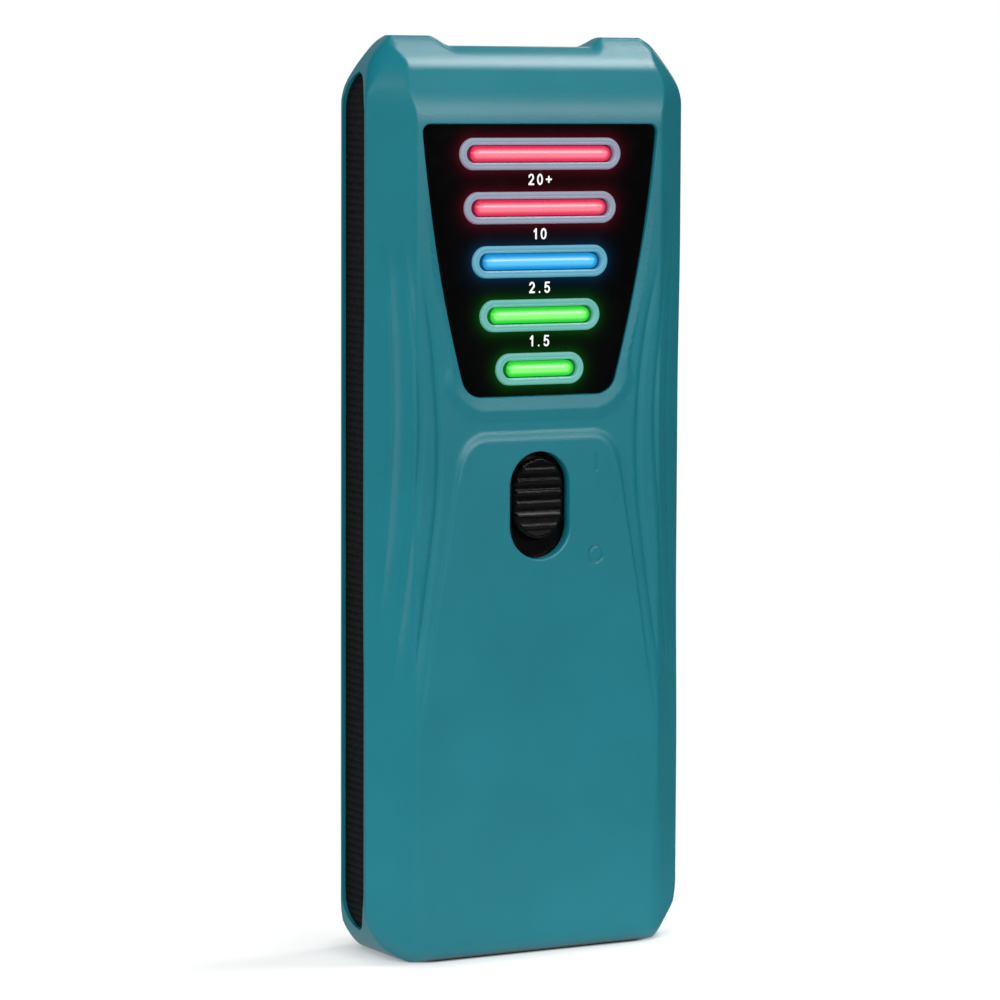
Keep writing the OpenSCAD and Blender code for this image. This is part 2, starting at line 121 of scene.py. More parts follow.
class Patchwork:
    """A mesh sewn from patches. Corners that meet become one vertex, and each
    face corner keeps the normal of its own patch."""

    def __init__(self):
        self.points = []
        self.index = {}
        self.faces = []
        self.normals = []

    def vertex(self, point):
        key = tuple(round(c * 1000) for c in point)
        if key not in self.index:
            self.index[key] = len(self.points)
            self.points.append(tuple(point))
        return self.index[key]

    def face(self, corners, normals):
        ids, kept = [], []
        for corner, normal in zip(corners, normals):
            v = self.vertex(corner)
            if v not in ids:
                ids.append(v)
                kept.append(normal)
        if len(ids) > 2:
            if turned_over([self.points[k] for k in ids], kept):
                ids.reverse()
                kept.reverse()
            self.faces.append(ids)
            self.normals.append(kept)

    def loft(self, rows, row_normals, closed=True):
        """Quads between rows of points. The outside lies to the left of a row's run."""
        count = len(rows[0])
        for a, b, na, nb in zip(rows, rows[1:], row_normals, row_normals[1:]):
            for i in range(count if closed else count - 1):
                j = (i + 1) % count
                self.face((a[i], a[j], b[j], b[i]), (na[i], na[j], nb[j], nb[i]))

    def sheet(self, points, triangles, normals):
        for tri in triangles:
            self.face([points[k] for k in tri], [normals[k] for k in tri])

    def level(self, outer, holes, spacing, depth, facing, side=1):
        """A level plate that faces along facing, or against it with side = -1."""
        flat, tris = fill(outer, holes, spacing)
        self.sheet(at_depth(flat, depth, facing), tris, [(0.0, float(side * facing), 0.0)] * len(flat))

    def formed(self, outer, holes, spacing, surface, facing, detail=()):
        """A sheet that follows y = surface(x, z)."""
        flat, tris = fill(outer, holes, spacing, detail)
        x, z = flat[:, 0], flat[:, 1]
        self.sheet(list(zip(x, surface(x, z), z)), tris, slope_normals(surface, x, z, facing))

    def build(self, name, material):
        mesh = bpy.data.meshes.new(name)
        mesh.from_pydata([tuple(c * MM for c in p) for p in self.points], [], self.faces)
        mesh.polygons.foreach_set("use_smooth", [True] * len(self.faces))
        corner_normals = [n for face in self.normals for n in face]
        mesh.normals_split_custom_set(corner_normals)
        mesh.materials.append(material)
        return in_scene(name, mesh)


def inside(points, loop):
    """Which points lie inside a closed loop, as a mask."""
    x, z = points[:, 0], points[:, 1]
    hit = np.zeros(len(points), bool)
    ring = np.asarray(loop)
    for (x0, z0), (x1, z1) in zip(ring, np.roll(ring, -1, axis=0)):
        if z0 == z1:
            continue
        crosses = (z0 > z) != (z1 > z)
        hit ^= crosses & (x < (x1 - x0) * (z - z0) / (z1 - z0) + x0)
    return hit


def fill(outer, holes, spacing, detail=()):
    """Triangles that fill a loop round its holes. detail holds extra points,
    such as those along a groove, and the grid keeps clear of them."""
    loops = [np.asarray(outer)] + [np.asarray(h) for h in holes]
    low, high = loops[0].min(axis=0), loops[0].max(axis=0)
    xs = np.arange(low[0], high[0], spacing)
    zs = np.arange(low[1], high[1], spacing)
    grid = np.array([(x + (k % 2) * spacing / 2, z) for k, z in enumerate(zs) for x in xs])
    extra = [np.asarray(detail)] if len(detail) else []
    fixed = np.concatenate(loops + extra)
    near = set()
    cell = spacing * 0.6
    for x, z in fixed:
        i, k = int(x // cell), int(z // cell)
        near.update((i + a, k + b) for a in (-1, 0, 1) for b in (-1, 0, 1))
    free = np.array([(int(x // cell), int(z // cell)) not in near for x, z in grid])
    inner = np.concatenate([grid[free]] + extra)
    keep = inside(inner, loops[0])
    for hole in loops[1:]:
        keep &= ~inside(inner, hole)
    inner = inner[keep]
    points, edges = [], []
    for loop in loops:
        start = len(points)
        points += [Vector(p) for p in loop]
        edges += [(start + k, start + (k + 1) % len(loop)) for k in range(len(loop))]
    points += [Vector(p) for p in inner]
    verts, _, faces, *_ = delaunay_2d_cdt(points, edges, [], 0, 1e-6)
    flat = np.array([(v.x, v.y) for v in verts])
    tris = np.array([f for f in faces if len(f) == 3])
    middles = flat[tris].mean(axis=1)
    keep = inside(middles, loops[0])
    for hole in loops[1:]:
        keep &= ~inside(middles, hole)
    tris = tris[keep]
    a, b, c = (flat[tris[:, k]] for k in range(3))
    turn = (b[:, 0] - a[:, 0]) * (c[:, 1] - a[:, 1]) - (b[:, 1] - a[:, 1]) * (c[:, 0] - a[:, 0])
    tris[turn < 0] = tris[turn < 0][:, ::-1]
    return flat, tris.tolist()


def slope_normals(surface, x, z, facing):
    """Unit normals of the surface y = surface(x, z) that face along facing Y."""
    h = 0.02
    dx = (surface(x + h, z) - surface(x - h, z)) / (2 * h)
    dz = (surface(x, z + h) - surface(x, z - h)) / (2 * h)
    n = np.stack([-dx * facing, np.full_like(dx, facing), -dz * facing], axis=1)
    return n / np.linalg.norm(n, axis=1)[:, None]


def ring_out(loop):
    """Outward unit normals of an anticlockwise loop in the XZ plane."""
    ring = np.asarray(loop)
    way = np.roll(ring, -1, axis=0) - np.roll(ring, 1, axis=0)
    out = np.stack([way[:, 1], -way[:, 0]], axis=1)
    return out / np.linalg.norm(out, axis=1)[:, None]


def arc(cx, cz, r, a0, a1, n):
    return [(cx + r * math.cos(math.radians(a0 + (a1 - a0) * k / n)),
             cz + r * math.sin(math.radians(a0 + (a1 - a0) * k / n))) for k in range(n + 1)]


def stadium(half, h, cx=0.0, cz=0.0, upright=False, step=0.35):
    """Anticlockwise round-ended slot: half its length and its full height."""
    r = h / 2
    n = max(8, int(math.pi * r / step))
    m = max(1, int(2 * (half - r) / step))
    run = [half - r - 2 * (half - r) * k / m for k in range(1, m)]
    loop = arc(half - r, 0, r, -90, 90, n) + [(x, r) for x in run]
    loop += arc(r - half, 0, r, 90, 270, n) + [(-x, -r) for x in run]
    if upright:
        loop = [(-z, x) for x, z in loop]
    return np.array([(cx + x, cz + z) for x, z in loop])


def grow(loop, amount):
    """The loop moved outwards by an amount."""
    return np.asarray(loop) + ring_out(loop) * amount


# ---- the casing's form ----


def soft_min(a, b, k):
    """The lower of two heights, rounded where they meet."""
    h = np.clip(0.5 + 0.5 * (b - a) / k, 0, 1)
    return b + (a - b) * h - k * h * (1 - h)


def fade(t):
    """0 to 1 with a smooth start and end."""
    t = np.clip(t, 0, 1)
    return t * t * (3 - 2 * t)


def past(z, change):
    """0 to 1 over a change, given as its start and its length."""
    return fade((z - change[0]) / change[1])


def corner_inset(x, z):
    """Distance in from the outline at the sides and round the corners."""
    ax = np.abs(x)
    over, under = z - (HEIGHT - TOP_REACH), LOW_REACH - z
    top = TOP_R - np.hypot(np.maximum(ax - (HALF_W - TOP_R), 0), np.maximum(over, 0))
    low = LOW_R - np.hypot(np.maximum(ax - (HALF_W - LOW_R), 0), np.maximum(under, 0))
    return np.where(over > 0, top, np.where(under > 0, low, HALF_W - ax))


def curve_at(z, knots):
    """Smooth curve through (z, x) knots, level beyond its ends."""
    zs, xs = (np.array(part, float) for part in zip(*knots))
    slopes = np.gradient(xs, zs)
    z = np.clip(z, zs[0], zs[-1])
    k = np.clip(np.searchsorted(zs, z) - 1, 0, len(zs) - 2)
    span = zs[k + 1] - zs[k]
    t = (z - zs[k]) / span
    rise = t * t * (3 - 2 * t)
    lift = t * (1 - t) ** 2 * slopes[k] - t * t * (1 - t) * slopes[k + 1]
    return xs[k] + (xs[k + 1] - xs[k]) * rise + lift * span


def corner_distance(a, b, r):
    """Distance from a corner with sides a and b away, rounded to radius r."""
    qa, qb = a + r, b + r
    return np.hypot(np.maximum(qa, 0), np.maximum(qb, 0)) + np.minimum(np.maximum(qa, qb), 0) - r


PANEL_LOW, PANEL_HIGH = 88.7, 131.3
PANEL_LOW_HALF, PANEL_HIGH_HALF, PANEL_BULGE = 13.1, 21.2, 1.05
PANEL_LOW_R, PANEL_HIGH_R = 3.6, 1.3


def panel_half(z):
    t = np.clip((z - PANEL_LOW) / (PANEL_HIGH - PANEL_LOW), 0, 1)
    return PANEL_LOW_HALF + (PANEL_HIGH_HALF - PANEL_LOW_HALF) * t + PANEL_BULGE * 4 * t * (1 - t)


def panel_distance(x, z):
    """Distance out from the display panel's edge."""
    a = (np.abs(x) - panel_half(z)) * 0.98
    low = corner_distance(a, PANEL_LOW - z, PANEL_LOW_R)
    high = corner_distance(a, z - PANEL_HIGH, PANEL_HIGH_R)
    return np.where(z < (PANEL_LOW + PANEL_HIGH) / 2, low, high)


# the raised field round the switch: its side edge, as (height, half-width)
FIELD_SIDE = ((20, 22.8), (36.5, 21.7), (47.5, 20.0), (57.5, 18.5), (67.7, 16.65), (78.2, 15.0),
              (84, 14.5))
FIELD_TOP, FIELD_R = 83.5, 5.0
VALLEY = 0.45             # how far the waist round the field is sunk
FRAME_SINK, FRAME_RISE = 0.44, 0.26    # the sloping frame round the display, at its inner edge
# three fine grooves on each side, which draw in at the waist
GROOVES = (
    ((38, 23.2), (50, 21.4), (60.6, 19.8), (73.5, 18.2), (83, 18.0), (99, 19.4), (112, 22.0)),
    ((42, 25.2), (60, 23.1), (73, 21.9), (84, 21.2), (98, 22.1), (116, 24.1)),
    ((52, 26.8), (61, 25.9), (74, 25.0), (86, 24.6), (100, 25.0), (116, 25.9)),
)
GROOVE_HALF, GROOVE_DEPTH, GROOVE_FADE = 0.95, 0.34, 16.0


# engraved switch marks: a stroke for on and a ring for off
MARK_X, ON_Z, OFF_Z, MARK_R, MARK_HALF, MARK_DEPTH = 10.2, 78.0, 63.3, 1.25, 0.24, 0.14


def marks(x, z):
    """Relief of the two switch marks."""
    stroke = np.hypot(x - MARK_X, np.maximum(np.abs(z - ON_Z) - MARK_R, 0))
    ring = np.abs(np.hypot(x - MARK_X, z - OFF_Z) - MARK_R)
    return MARK_DEPTH * (1 - fade((np.minimum(stroke, ring) - MARK_HALF + 0.1) / 0.2))


def relief(x, z):
    """How far the front is sunk below its flat face."""
    ax = np.abs(x)
    side = (ax - curve_at(z, FIELD_SIDE)) * 0.985
    out = corner_distance(side, z - FIELD_TOP, FIELD_R)
    bevel = 0.8 + 1.1 * past(z, (75, 6))
    waist = VALLEY * past(z, (30, 30)) * (1 - past(z, (88, 26)))
    sunk = waist * fade(out / bevel + 1)
    away = panel_distance(x, z)
    width = (1.2 + fade((94 - z) / 5)) * (1 - 0.6 * past(z, (100, 20)))
    level = (FRAME_SINK - FRAME_RISE * np.clip(away / width, 0, 1)) * (1 - past(z, (104, 20)))
    near = 1 - fade((away - width) / (0.45 + 1.6 * fade((96 - z) / 6)))
    sunk = sunk * (1 - near) + level * near
    for knots in GROOVES:
        gap = np.clip(1 - np.abs(ax - curve_at(z, knots)) / GROOVE_HALF, 0, 1)
        ends = fade((z - knots[0][0]) / GROOVE_FADE) * fade((knots[-1][0] - z) / GROOVE_FADE)
        sunk = sunk + GROOVE_DEPTH * ends * gap ** 1.7
    return sunk + marks(x, z)


def form_depth(x, z, full, sunk=0.0):
    """Depth of the casing: face, leaning top, side bevels and rounded foot."""
    inset = np.where(z < LOW_REACH, HALF_W - np.abs(x), corner_inset(x, z))
    band = BAND - TOP_BAND_DROP * past(z, TOP_BAND_FADE)
    bevel = band + inset * (full - band) / (HALF_W - FACE_HALF)
    lean = full - (z - LEAN_LOW) * LEAN_SLOPE
    knee = full - (LEAN_HIGH - LEAN_LOW) * LEAN_SLOPE
    brow = knee - (z - LEAN_HIGH) * (knee - RIDGE) / (HEIGHT - LEAN_HIGH)
    depth = soft_min(full + 0 * x, soft_min(lean, brow, 1.0), 1.3)
    depth = soft_min(depth, bevel, 0.3 + 1.3 * fade((30 - z) / 24)) - sunk
    r = np.minimum(edge_round(z), 0.6 * depth)
    from_edge = np.minimum(np.minimum(z, HEIGHT - scoop(x) - z), corner_inset(x, z))
    bite = np.clip(1 - from_edge / r, 0, 1)
    return depth - r * (1 - np.sqrt(1 - bite ** 2 * 0.999))


def edge_round(z):
    """Radius of the casing's outer edge at a height."""
    return FOOT_R * (1 - past(z, FOOT_FADE)) + CROWN_R * past(z, CROWN_FADE) + 1e-6


def scoop(x):
    """How far the scoop across the top lies below the shoulders."""
    return SCOOP_DEPTH * (1 - fade((np.abs(x) - SCOOP_HALF) / SCOOP_RAMP))


def front_y_at(x, z):
    return JOINT_Y - form_depth(x, z, FRONT_DEPTH, relief(x, z))


def rear_y_at(x, z):
    return JOINT_Y + form_depth(x, z, REAR_DEPTH)


# ---- the casing's loops, anticlockwise from the front, all with the same count ----

EDGE = 0.3                # width of the small round on the casing's edges
INNER_BASE, INNER_TOP = 1.8, 3.35
STEP = 0.4


def case_loop(side, base, top, scooped=True):
    """The case's outline, moved in by side, base and top."""
    high, low = HEIGHT - TOP_REACH, LOW_REACH
    n_arc, n_side = 40, int((high - low) / STEP)

    def corner(r, reach, end):
        turn = math.asin((reach - end) / (r - end))
        return [(HALF_W - r + (r - side) * math.cos(a), (r - end) * math.sin(a))
                for a in np.linspace(0, turn, n_arc + 1)]

    right = [(x, low - z) for x, z in reversed(corner(LOW_R, LOW_REACH, base))]
    right += [(HALF_W - side, low + (high - low) * k / n_side) for k in range(1, n_side)]
    right += [(x, high + z) for x, z in corner(TOP_R, TOP_REACH, top)]
    end = right[-1][0]
    n_top = 2 * int(FACE_HALF / STEP) + 1
    crown_x = [end - 2 * end * k / n_top for k in range(1, n_top)]
    crown = [(x, HEIGHT - top - (scoop(x) if scooped else 0)) for x in crown_x]
    left = [(-x, z) for x, z in reversed(right)]
    foot = [(-right[0][0] * (1 - 2 * k / n_top), base) for k in range(1, n_top)]
    return np.array(right + crown + left + foot)


def slot_half(z):
    """Half-width of the grip slot at a height, 0 beyond its elliptical ends."""
    low = (SLOT_LOW + SLOT_END - z) / SLOT_END
    high = (z - (SLOT_HIGH - SLOT_END)) / SLOT_END
    t = np.clip(np.maximum(low, high), 0, 1)
    return SLOT_HALF * np.sqrt(1 - t * t)


def at_depth(loop, depth, facing):
    """A loop of points at a depth from the joint line."""
    return [(x, JOINT_Y + facing * d, z) for (x, z), d in zip(loop, depth + np.zeros(len(loop)))]


def sideways(loop):
    return [(nx, 0.0, nz) for nx, nz in ring_out(loop)]


def blend_normals(a, b, t):
    mix = np.asarray(a) * math.cos(t) + np.asarray(b) * math.sin(t)
    return mix / np.linalg.norm(mix, axis=1)[:, None]


def circle(cx, cz, r, n=40):
    return np.array(arc(cx, cz, r, 0, 360, n)[:-1])


def shell_edge(shell, surface, full, facing):
    """Outer edge, grip slot, joint face and inner wall of a shell."""
    edge = case_loop(EDGE, EDGE, EDGE)
    skin = case_loop(0, 0, 0)
    start = np.abs(surface(edge[:, 0], edge[:, 1]) - JOINT_Y)
    first = slope_normals(surface, edge[:, 0], edge[:, 1], facing)
    out = sideways(skin)
    r = np.minimum(np.maximum(edge_round(edge[:, 1]), EDGE), 0.6 * start)
    drop = np.sqrt(np.maximum(r ** 2 - np.maximum(r - EDGE, 0) ** 2, 0))
    rows, normals = [], []
    for k in range(5):
        a = math.radians(90 * k / 4)
        loop = edge + (skin - edge) * math.sin(a)
        rows.append(at_depth(loop, start - drop * (1 - math.cos(a)), facing))
        normals.append(blend_normals(first, out, a))
    last = np.abs(np.array(rows[-1])[:, 1] - JOINT_Y)
    on_side = (skin[:, 1] > SLOT_LOW) & (skin[:, 1] < SLOT_HIGH)
    half = np.clip(np.where(on_side, slot_half(skin[:, 1]), 0), 0, last - 0.02)
    rows.append(at_depth(skin, half, facing))
    normals.append(out)
    shell.loft(rows, normals)
    floor = skin.copy()
    deep = half > 0.05
    floor[deep, 0] = np.sign(skin[deep, 0]) * np.minimum(np.abs(skin[deep, 0]), SLOT_FLOOR)
    inward = [(0.0, -facing * 1.0, 0.0)] * len(skin)
    shell.loft([at_depth(skin, half, facing), at_depth(floor, half, facing)], [inward] * 2)
    shell.loft([at_depth(floor, half, facing), at_depth(floor, 0, facing)], [out] * 2)
    inner = case_loop(SIDE_WALL, INNER_BASE, INNER_TOP, scooped=False)
    shell.loft([at_depth(floor, 0, facing), at_depth(inner, 0, facing)], [inward] * 2)
    return edge, inner


def through(shell, loop, rows, facing, side=1, cap=False):
    """Walls of a hole, collar or post, as rows of (growth of the loop, depth).
    They start on the outer surface, or on the inner surface with side = -1."""
    out = np.array(sideways(loop))
    for (g0, d0), (g1, d1) in zip(rows, rows[1:]):
        rise, run = float(np.mean(d1) - np.mean(d0)), g1 - g0
        normal = out * rise * side + np.array((0, -side * facing * run, 0))
        normal = normal / np.linalg.norm(normal, axis=1)[:, None]
        a, b = at_depth(grow(loop, g0), d0, facing), at_depth(grow(loop, g1), d1, facing)
        shell.loft([a, b], [normal] * 2)
    if cap:
        ring = at_depth(grow(loop, rows[-1][0]), rows[-1][1], facing)
        shell.face(ring, [(0.0, float(side * facing), 0.0)] * len(ring))


def panel_loop():
    """The display panel's outline."""
    low_lean, high_lean = 15.3, 5.2
    r, z = PANEL_LOW_R, PANEL_LOW + PANEL_LOW_R
    z_end = z - r * math.sin(math.radians(low_lean))
    cx = float(panel_half(z_end)) - r * math.cos(math.radians(low_lean))
    right = [(cx * k / 24, PANEL_LOW) for k in range(1, 24)]
    right += arc(cx, z, r, -90, -low_lean, 14)
    r = PANEL_HIGH_R
    z_top = PANEL_HIGH - r - r * math.sin(math.radians(high_lean))
    right += [(float(panel_half(h)), h) for h in np.linspace(z_end, z_top, 90)[1:-1]]
    cx = float(panel_half(z_top)) - r * math.cos(math.radians(high_lean))
    right += arc(cx, PANEL_HIGH - r, r, -high_lean, 90, 8)
    right += [(cx * k / 48, PANEL_HIGH) for k in range(47, 0, -1)]
    left = [(-x, z) for x, z in reversed(right)]
    return np.array([(0.0, PANEL_LOW)] + right + [(0.0, PANEL_HIGH)] + left)


# ---- the front casing ----

BAR_Z = [sum(node_box(f"light_bar_{i}")[k][2] for k in (0, 1)) / 2 for i in range(1, 6)]
COLLAR_HALF = (14.39, 13.59, 12.12, 10.72, 7.86)
COLLAR_H, COLLAR_BAND = 5.0, 1.12
PANEL_SEAT = 8.05         # depth of the seat under the display panel
PANEL_FACE = 8.55         # depth of the panel's front
FRONT_INNER = 7.38        # depth of the inside of the front wall
SWITCH_X, SWITCH_Z, SWITCH_HALF_L, SWITCH_W = 0.0, 71.4, 8.5, 10.7
CASE_SCREWS = ((-18.9, 122), (18.9, 122), (-14, 5), (14, 5))
BOARD_SCREWS = ((-13, 133), (13, 133), (-13, 66.5), (13, 66.5))
BOSS_R, BOSS_WALL = 2.8, 1.7      # bosses for the case screws
POST_R, POST_WALL = 2.2, 1.5      # posts under the circuit board


def detail_points():
    """Extra mesh points along the grooves, the raised field's edge and the foot."""
    points = []
    for knots in GROOVES:
        zs = np.arange(knots[0][0], knots[-1][0], 0.45)
        for shift in (-0.5, -0.18, 0.0, 0.18, 0.5):
            xs = curve_at(zs, knots) + shift
            points += list(zip(xs, zs)) + list(zip(-xs, zs))
    for inset in (-0.4, 0.0, 0.4, 0.8, 1.2):
        zs = np.arange(24, FIELD_TOP - FIELD_R - 1, 0.45)
        xs = curve_at(zs, FIELD_SIDE) - inset
        points += list(zip(xs, zs)) + list(zip(-xs, zs))
    for inset in (0.45, 0.65, 0.9, 1.2, 1.6):
        loop = case_loop(inset, inset, inset)
        points += [tuple(p) for p in loop if p[1] < 13 or p[1] > 133]
    for mid in (ON_Z, OFF_Z):
        fine = np.arange(-1.9, 1.91, 0.11)
        points += [(MARK_X + dx, mid + dz) for dx in fine for dz in fine]
    return points


def inner_depth(loop, full, most):
    """Depth of a shell's inside along a loop."""
    plain = form_depth(loop[:, 0], loop[:, 1], full)
    return np.minimum(plain - (full - most), most)


def inner_skin(shell, inner, holes, full, most, facing):
    """The inside of a shell: its back face round the holes, and its side wall."""
    flat, tris = fill(inner, holes, GRID_INSIDE)

    def inside_y(px, pz):
        return JOINT_Y + facing * inner_depth(np.stack([px, pz], axis=1), full, most)

    normals = -slope_normals(inside_y, flat[:, 0], flat[:, 1], facing)
    shell.sheet(at_depth(flat, inner_depth(flat, full, most), facing), tris, normals)
    rows = [at_depth(inner, d, facing) for d in (inner_depth(inner, full, most), 0)]
    shell.loft(rows, [-np.array(sideways(inner))] * 2)


def collar_loops():
    """Outlines of the five collars, from the top down."""
    return [stadium(half, COLLAR_H, 0.0, z) for half, z in zip(COLLAR_HALF, BAR_Z)]


def front_casing(material):
    shell, facing = Patchwork(), -1
    edge, inner = shell_edge(shell, front_y_at, FRONT_DEPTH, facing)
    panel = panel_loop()
    switch = stadium(SWITCH_HALF_L, SWITCH_W, SWITCH_X, SWITCH_Z, upright=True)
    panel_rim, switch_rim = grow(panel, 0.22), grow(switch, 0.35)
    shell.formed(edge, [panel_rim, switch_rim], GRID_FRONT, front_y_at, facing, detail_points())
    rim = JOINT_Y - front_y_at(*panel_rim.T)
    through(shell, panel, [(0.22, rim), (0.06, rim - 0.07), (0.0, rim - 0.24), (0.0, PANEL_SEAT)], facing)
    rim = JOINT_Y - front_y_at(*switch_rim.T)
    through(shell, switch, [(0.35, rim), (0.1, rim - 0.1), (0.0, rim - 0.35), (0.0, FRONT_INNER)], facing)
    bores = [grow(loop, -COLLAR_BAND) for loop in collar_loops()]
    shell.level(panel, bores, GRID_SEAT, PANEL_SEAT, facing)
    for loop in bores:
        through(shell, loop, [(0, PANEL_SEAT), (0, FRONT_INNER)], facing)
    screws = [circle(*spot, BOSS_R) for spot in CASE_SCREWS]
    posts = [circle(*spot, POST_R) for spot in BOARD_SCREWS]
    inner_skin(shell, inner, [switch] + bores + screws + posts, FRONT_DEPTH, FRONT_INNER, facing)
    board_depth = JOINT_Y - node_box("main_pcb")[0][1]
    for loops, end, wall, pilot in ((screws, 0.0, BOSS_WALL, 6.0), (posts, board_depth, POST_WALL, 6.4)):
        for loop in loops:
            start = inner_depth(loop, FRONT_DEPTH, FRONT_INNER)
            rows = [(0, start), (0, end), (-wall, end), (-wall, pilot)]
            through(shell, loop, rows, facing, -1, cap=True)
    return shell.build("front_casing", material)


def bezel(index, material):
    """The bevelled collar that stands round a light bar."""
    ring, top, band = Patchwork(), FRONT_DEPTH, COLLAR_BAND
    loop = stadium(COLLAR_HALF[index], COLLAR_H, 0.0, BAR_Z[index], step=0.2)
    profile = ((0.0, 0.45), (-0.05, 0.25), (-0.16, 0.1), (-0.32, 0.02), (-0.46, 0.02), (-0.6, 0.1),
               (-0.74, 0.1), (0.3 - band, 0.04), (0.16 - band, 0.08), (0.04 - band, 0.2), (-band, 0.4))
    rows = [(growth, top - below) for growth, below in profile]
    through(ring, loop, [(0.0, PANEL_SEAT)] + rows + [(-band, PANEL_SEAT), (0.0, PANEL_SEAT)], -1)
    return ring.build(f"bezel_{index + 1}", material)


# ---- the rear casing and the battery door ----

DOOR_HALF, DOOR_LOW, DOOR_HIGH, DOOR_GAP, DOOR_PLATE, DOOR_R = 18.2, 8.0, 59.0, 0.25, 1.0, 1.6
TAB_HALF, TAB_REACH, TAB_T, NOTCH_HALF, NOTCH_REACH = 6.0, 1.6, 0.6, 6.5, 3.0
BAY_HALF, BAY_LOW, BAY_HIGH, BAY_WALL = 16.9, 9.5, 57.5, 1.2
HOOK_X, HOOK_HALF = 5.6, 2.0
WELL_R, WELL_DEEP = 2.4, 5.0      # wells that the case screws' heads lie in
# grip dimples of the door, each shorter than the one above it
DIMPLE_HALF, DIMPLE_TAPER, DIMPLE_Z, DIMPLE_STEP, DIMPLE_DEPTH = 7.0, 0.9, 50.5, 2.0, 0.35
REAR_INNER = REAR_DEPTH - WALL


def rounded(x0, x1, z0, z1, r, n=8, step=1.2):
    """Anticlockwise rectangle with round corners and evenly cut sides."""
    corners = ((x1 - r, z0 + r, -90), (x1 - r, z1 - r, 0), (x0 + r, z1 - r, 90), (x0 + r, z0 + r, 180))
    loop = []
    for k, (cx, cz, a) in enumerate(corners):
        loop += arc(cx, cz, r, a, a + 90, n)
        nx, nz, na = corners[(k + 1) % 4]
        ex, ez = nx + r * math.cos(math.radians(na)), nz + r * math.sin(math.radians(na))
        sx, sz = loop[-1]
        cuts = max(1, int(math.hypot(ex - sx, ez - sz) / step))
        loop += [(sx + (ex - sx) * c / cuts, sz + (ez - sz) * c / cuts) for c in range(1, cuts)]
    return np.array(loop)


def rear_casing(material):
    shell, facing, full = Patchwork(), 1, REAR_DEPTH
    edge, inner = shell_edge(shell, rear_y_at, full, facing)
    door = rounded(-DOOR_HALF, DOOR_HALF, DOOR_LOW, DOOR_HIGH, DOOR_R)
    notch = rounded(-NOTCH_HALF, NOTCH_HALF, DOOR_HIGH + 0.35, DOOR_HIGH + NOTCH_REACH, 0.7)
    wells = [circle(*spot, WELL_R) for spot in CASE_SCREWS]
    rims = [grow(loop, 0.2) for loop in wells]
    shell.formed(edge, [grow(door, 0.2), grow(notch, 0.15)] + rims, GRID_REAR, rear_y_at, facing)
    ledge = full - DOOR_PLATE
    rim = rear_y_at(*grow(door, 0.2).T) - JOINT_Y
    through(shell, door, [(0.2, rim), (0.05, rim - 0.06), (0.0, rim - 0.2), (0.0, ledge)], facing)
    rim = rear_y_at(*grow(notch, 0.15).T) - JOINT_Y
    through(shell, notch, [(0.15, rim), (0.0, rim - 0.15), (0.0, full - 0.8)], facing, cap=True)
    bay = rounded(-BAY_HALF, BAY_HALF, BAY_LOW, BAY_HIGH, 0.6)
    shell.level(door, [bay], 1.3, ledge, facing)
    cell_low = min(node_box(f"cell_{k}")[0][1] for k in (1, 2, 3))
    bay_floor = cell_low - 0.4 - JOINT_Y
    through(shell, bay, [(0.0, ledge), (0.0, bay_floor)], facing)
    shell.level(bay, [], GRID_BAY, bay_floor, facing)
    tray = grow(bay, BAY_WALL)
    shell.level(tray, [], GRID_BAY, bay_floor - BAY_WALL, facing, -1)
    posts = [grow(loop, 0.4) for loop in wells]
    inner_skin(shell, inner, [tray] + posts, full, REAR_INNER, facing)
    start = inner_depth(tray, full, REAR_INNER)
    through(shell, tray, [(0.0, start), (0.0, bay_floor - BAY_WALL)], facing, -1)
    seat = full - WELL_DEEP
    for well, rim_loop, post in zip(wells, rims, posts):
        rim = rear_y_at(*rim_loop.T) - JOINT_Y
        through(shell, well, [(0.2, rim), (0.05, rim - 0.06), (0.0, rim - 0.2), (0.0, seat),
                              (-0.95, seat), (-0.95, 0.0), (0.4, 0.0)], facing)
        through(shell, post, [(0.0, inner_depth(post, full, REAR_INNER)), (0.0, 0.0)], facing, -1)
    return shell.build("rear_casing", material)


def solid(piece, loop, rows, facing, spacing=GRID_INSIDE, face_y=None):
    """A closed plate with an outline: rows of (growth, depth) from its front edge to its back edge.
    face_y gives its front a relief, as y at (x, z)."""
    if face_y is None:
        piece.level(grow(loop, rows[0][0]), [], spacing, rows[0][1], facing)
    else:
        piece.formed(grow(loop, rows[0][0]), [], spacing, face_y, facing)
    through(piece, loop, rows, facing, -1)
    piece.level(grow(loop, rows[-1][0]), [], spacing, rows[-1][1], facing, -1)


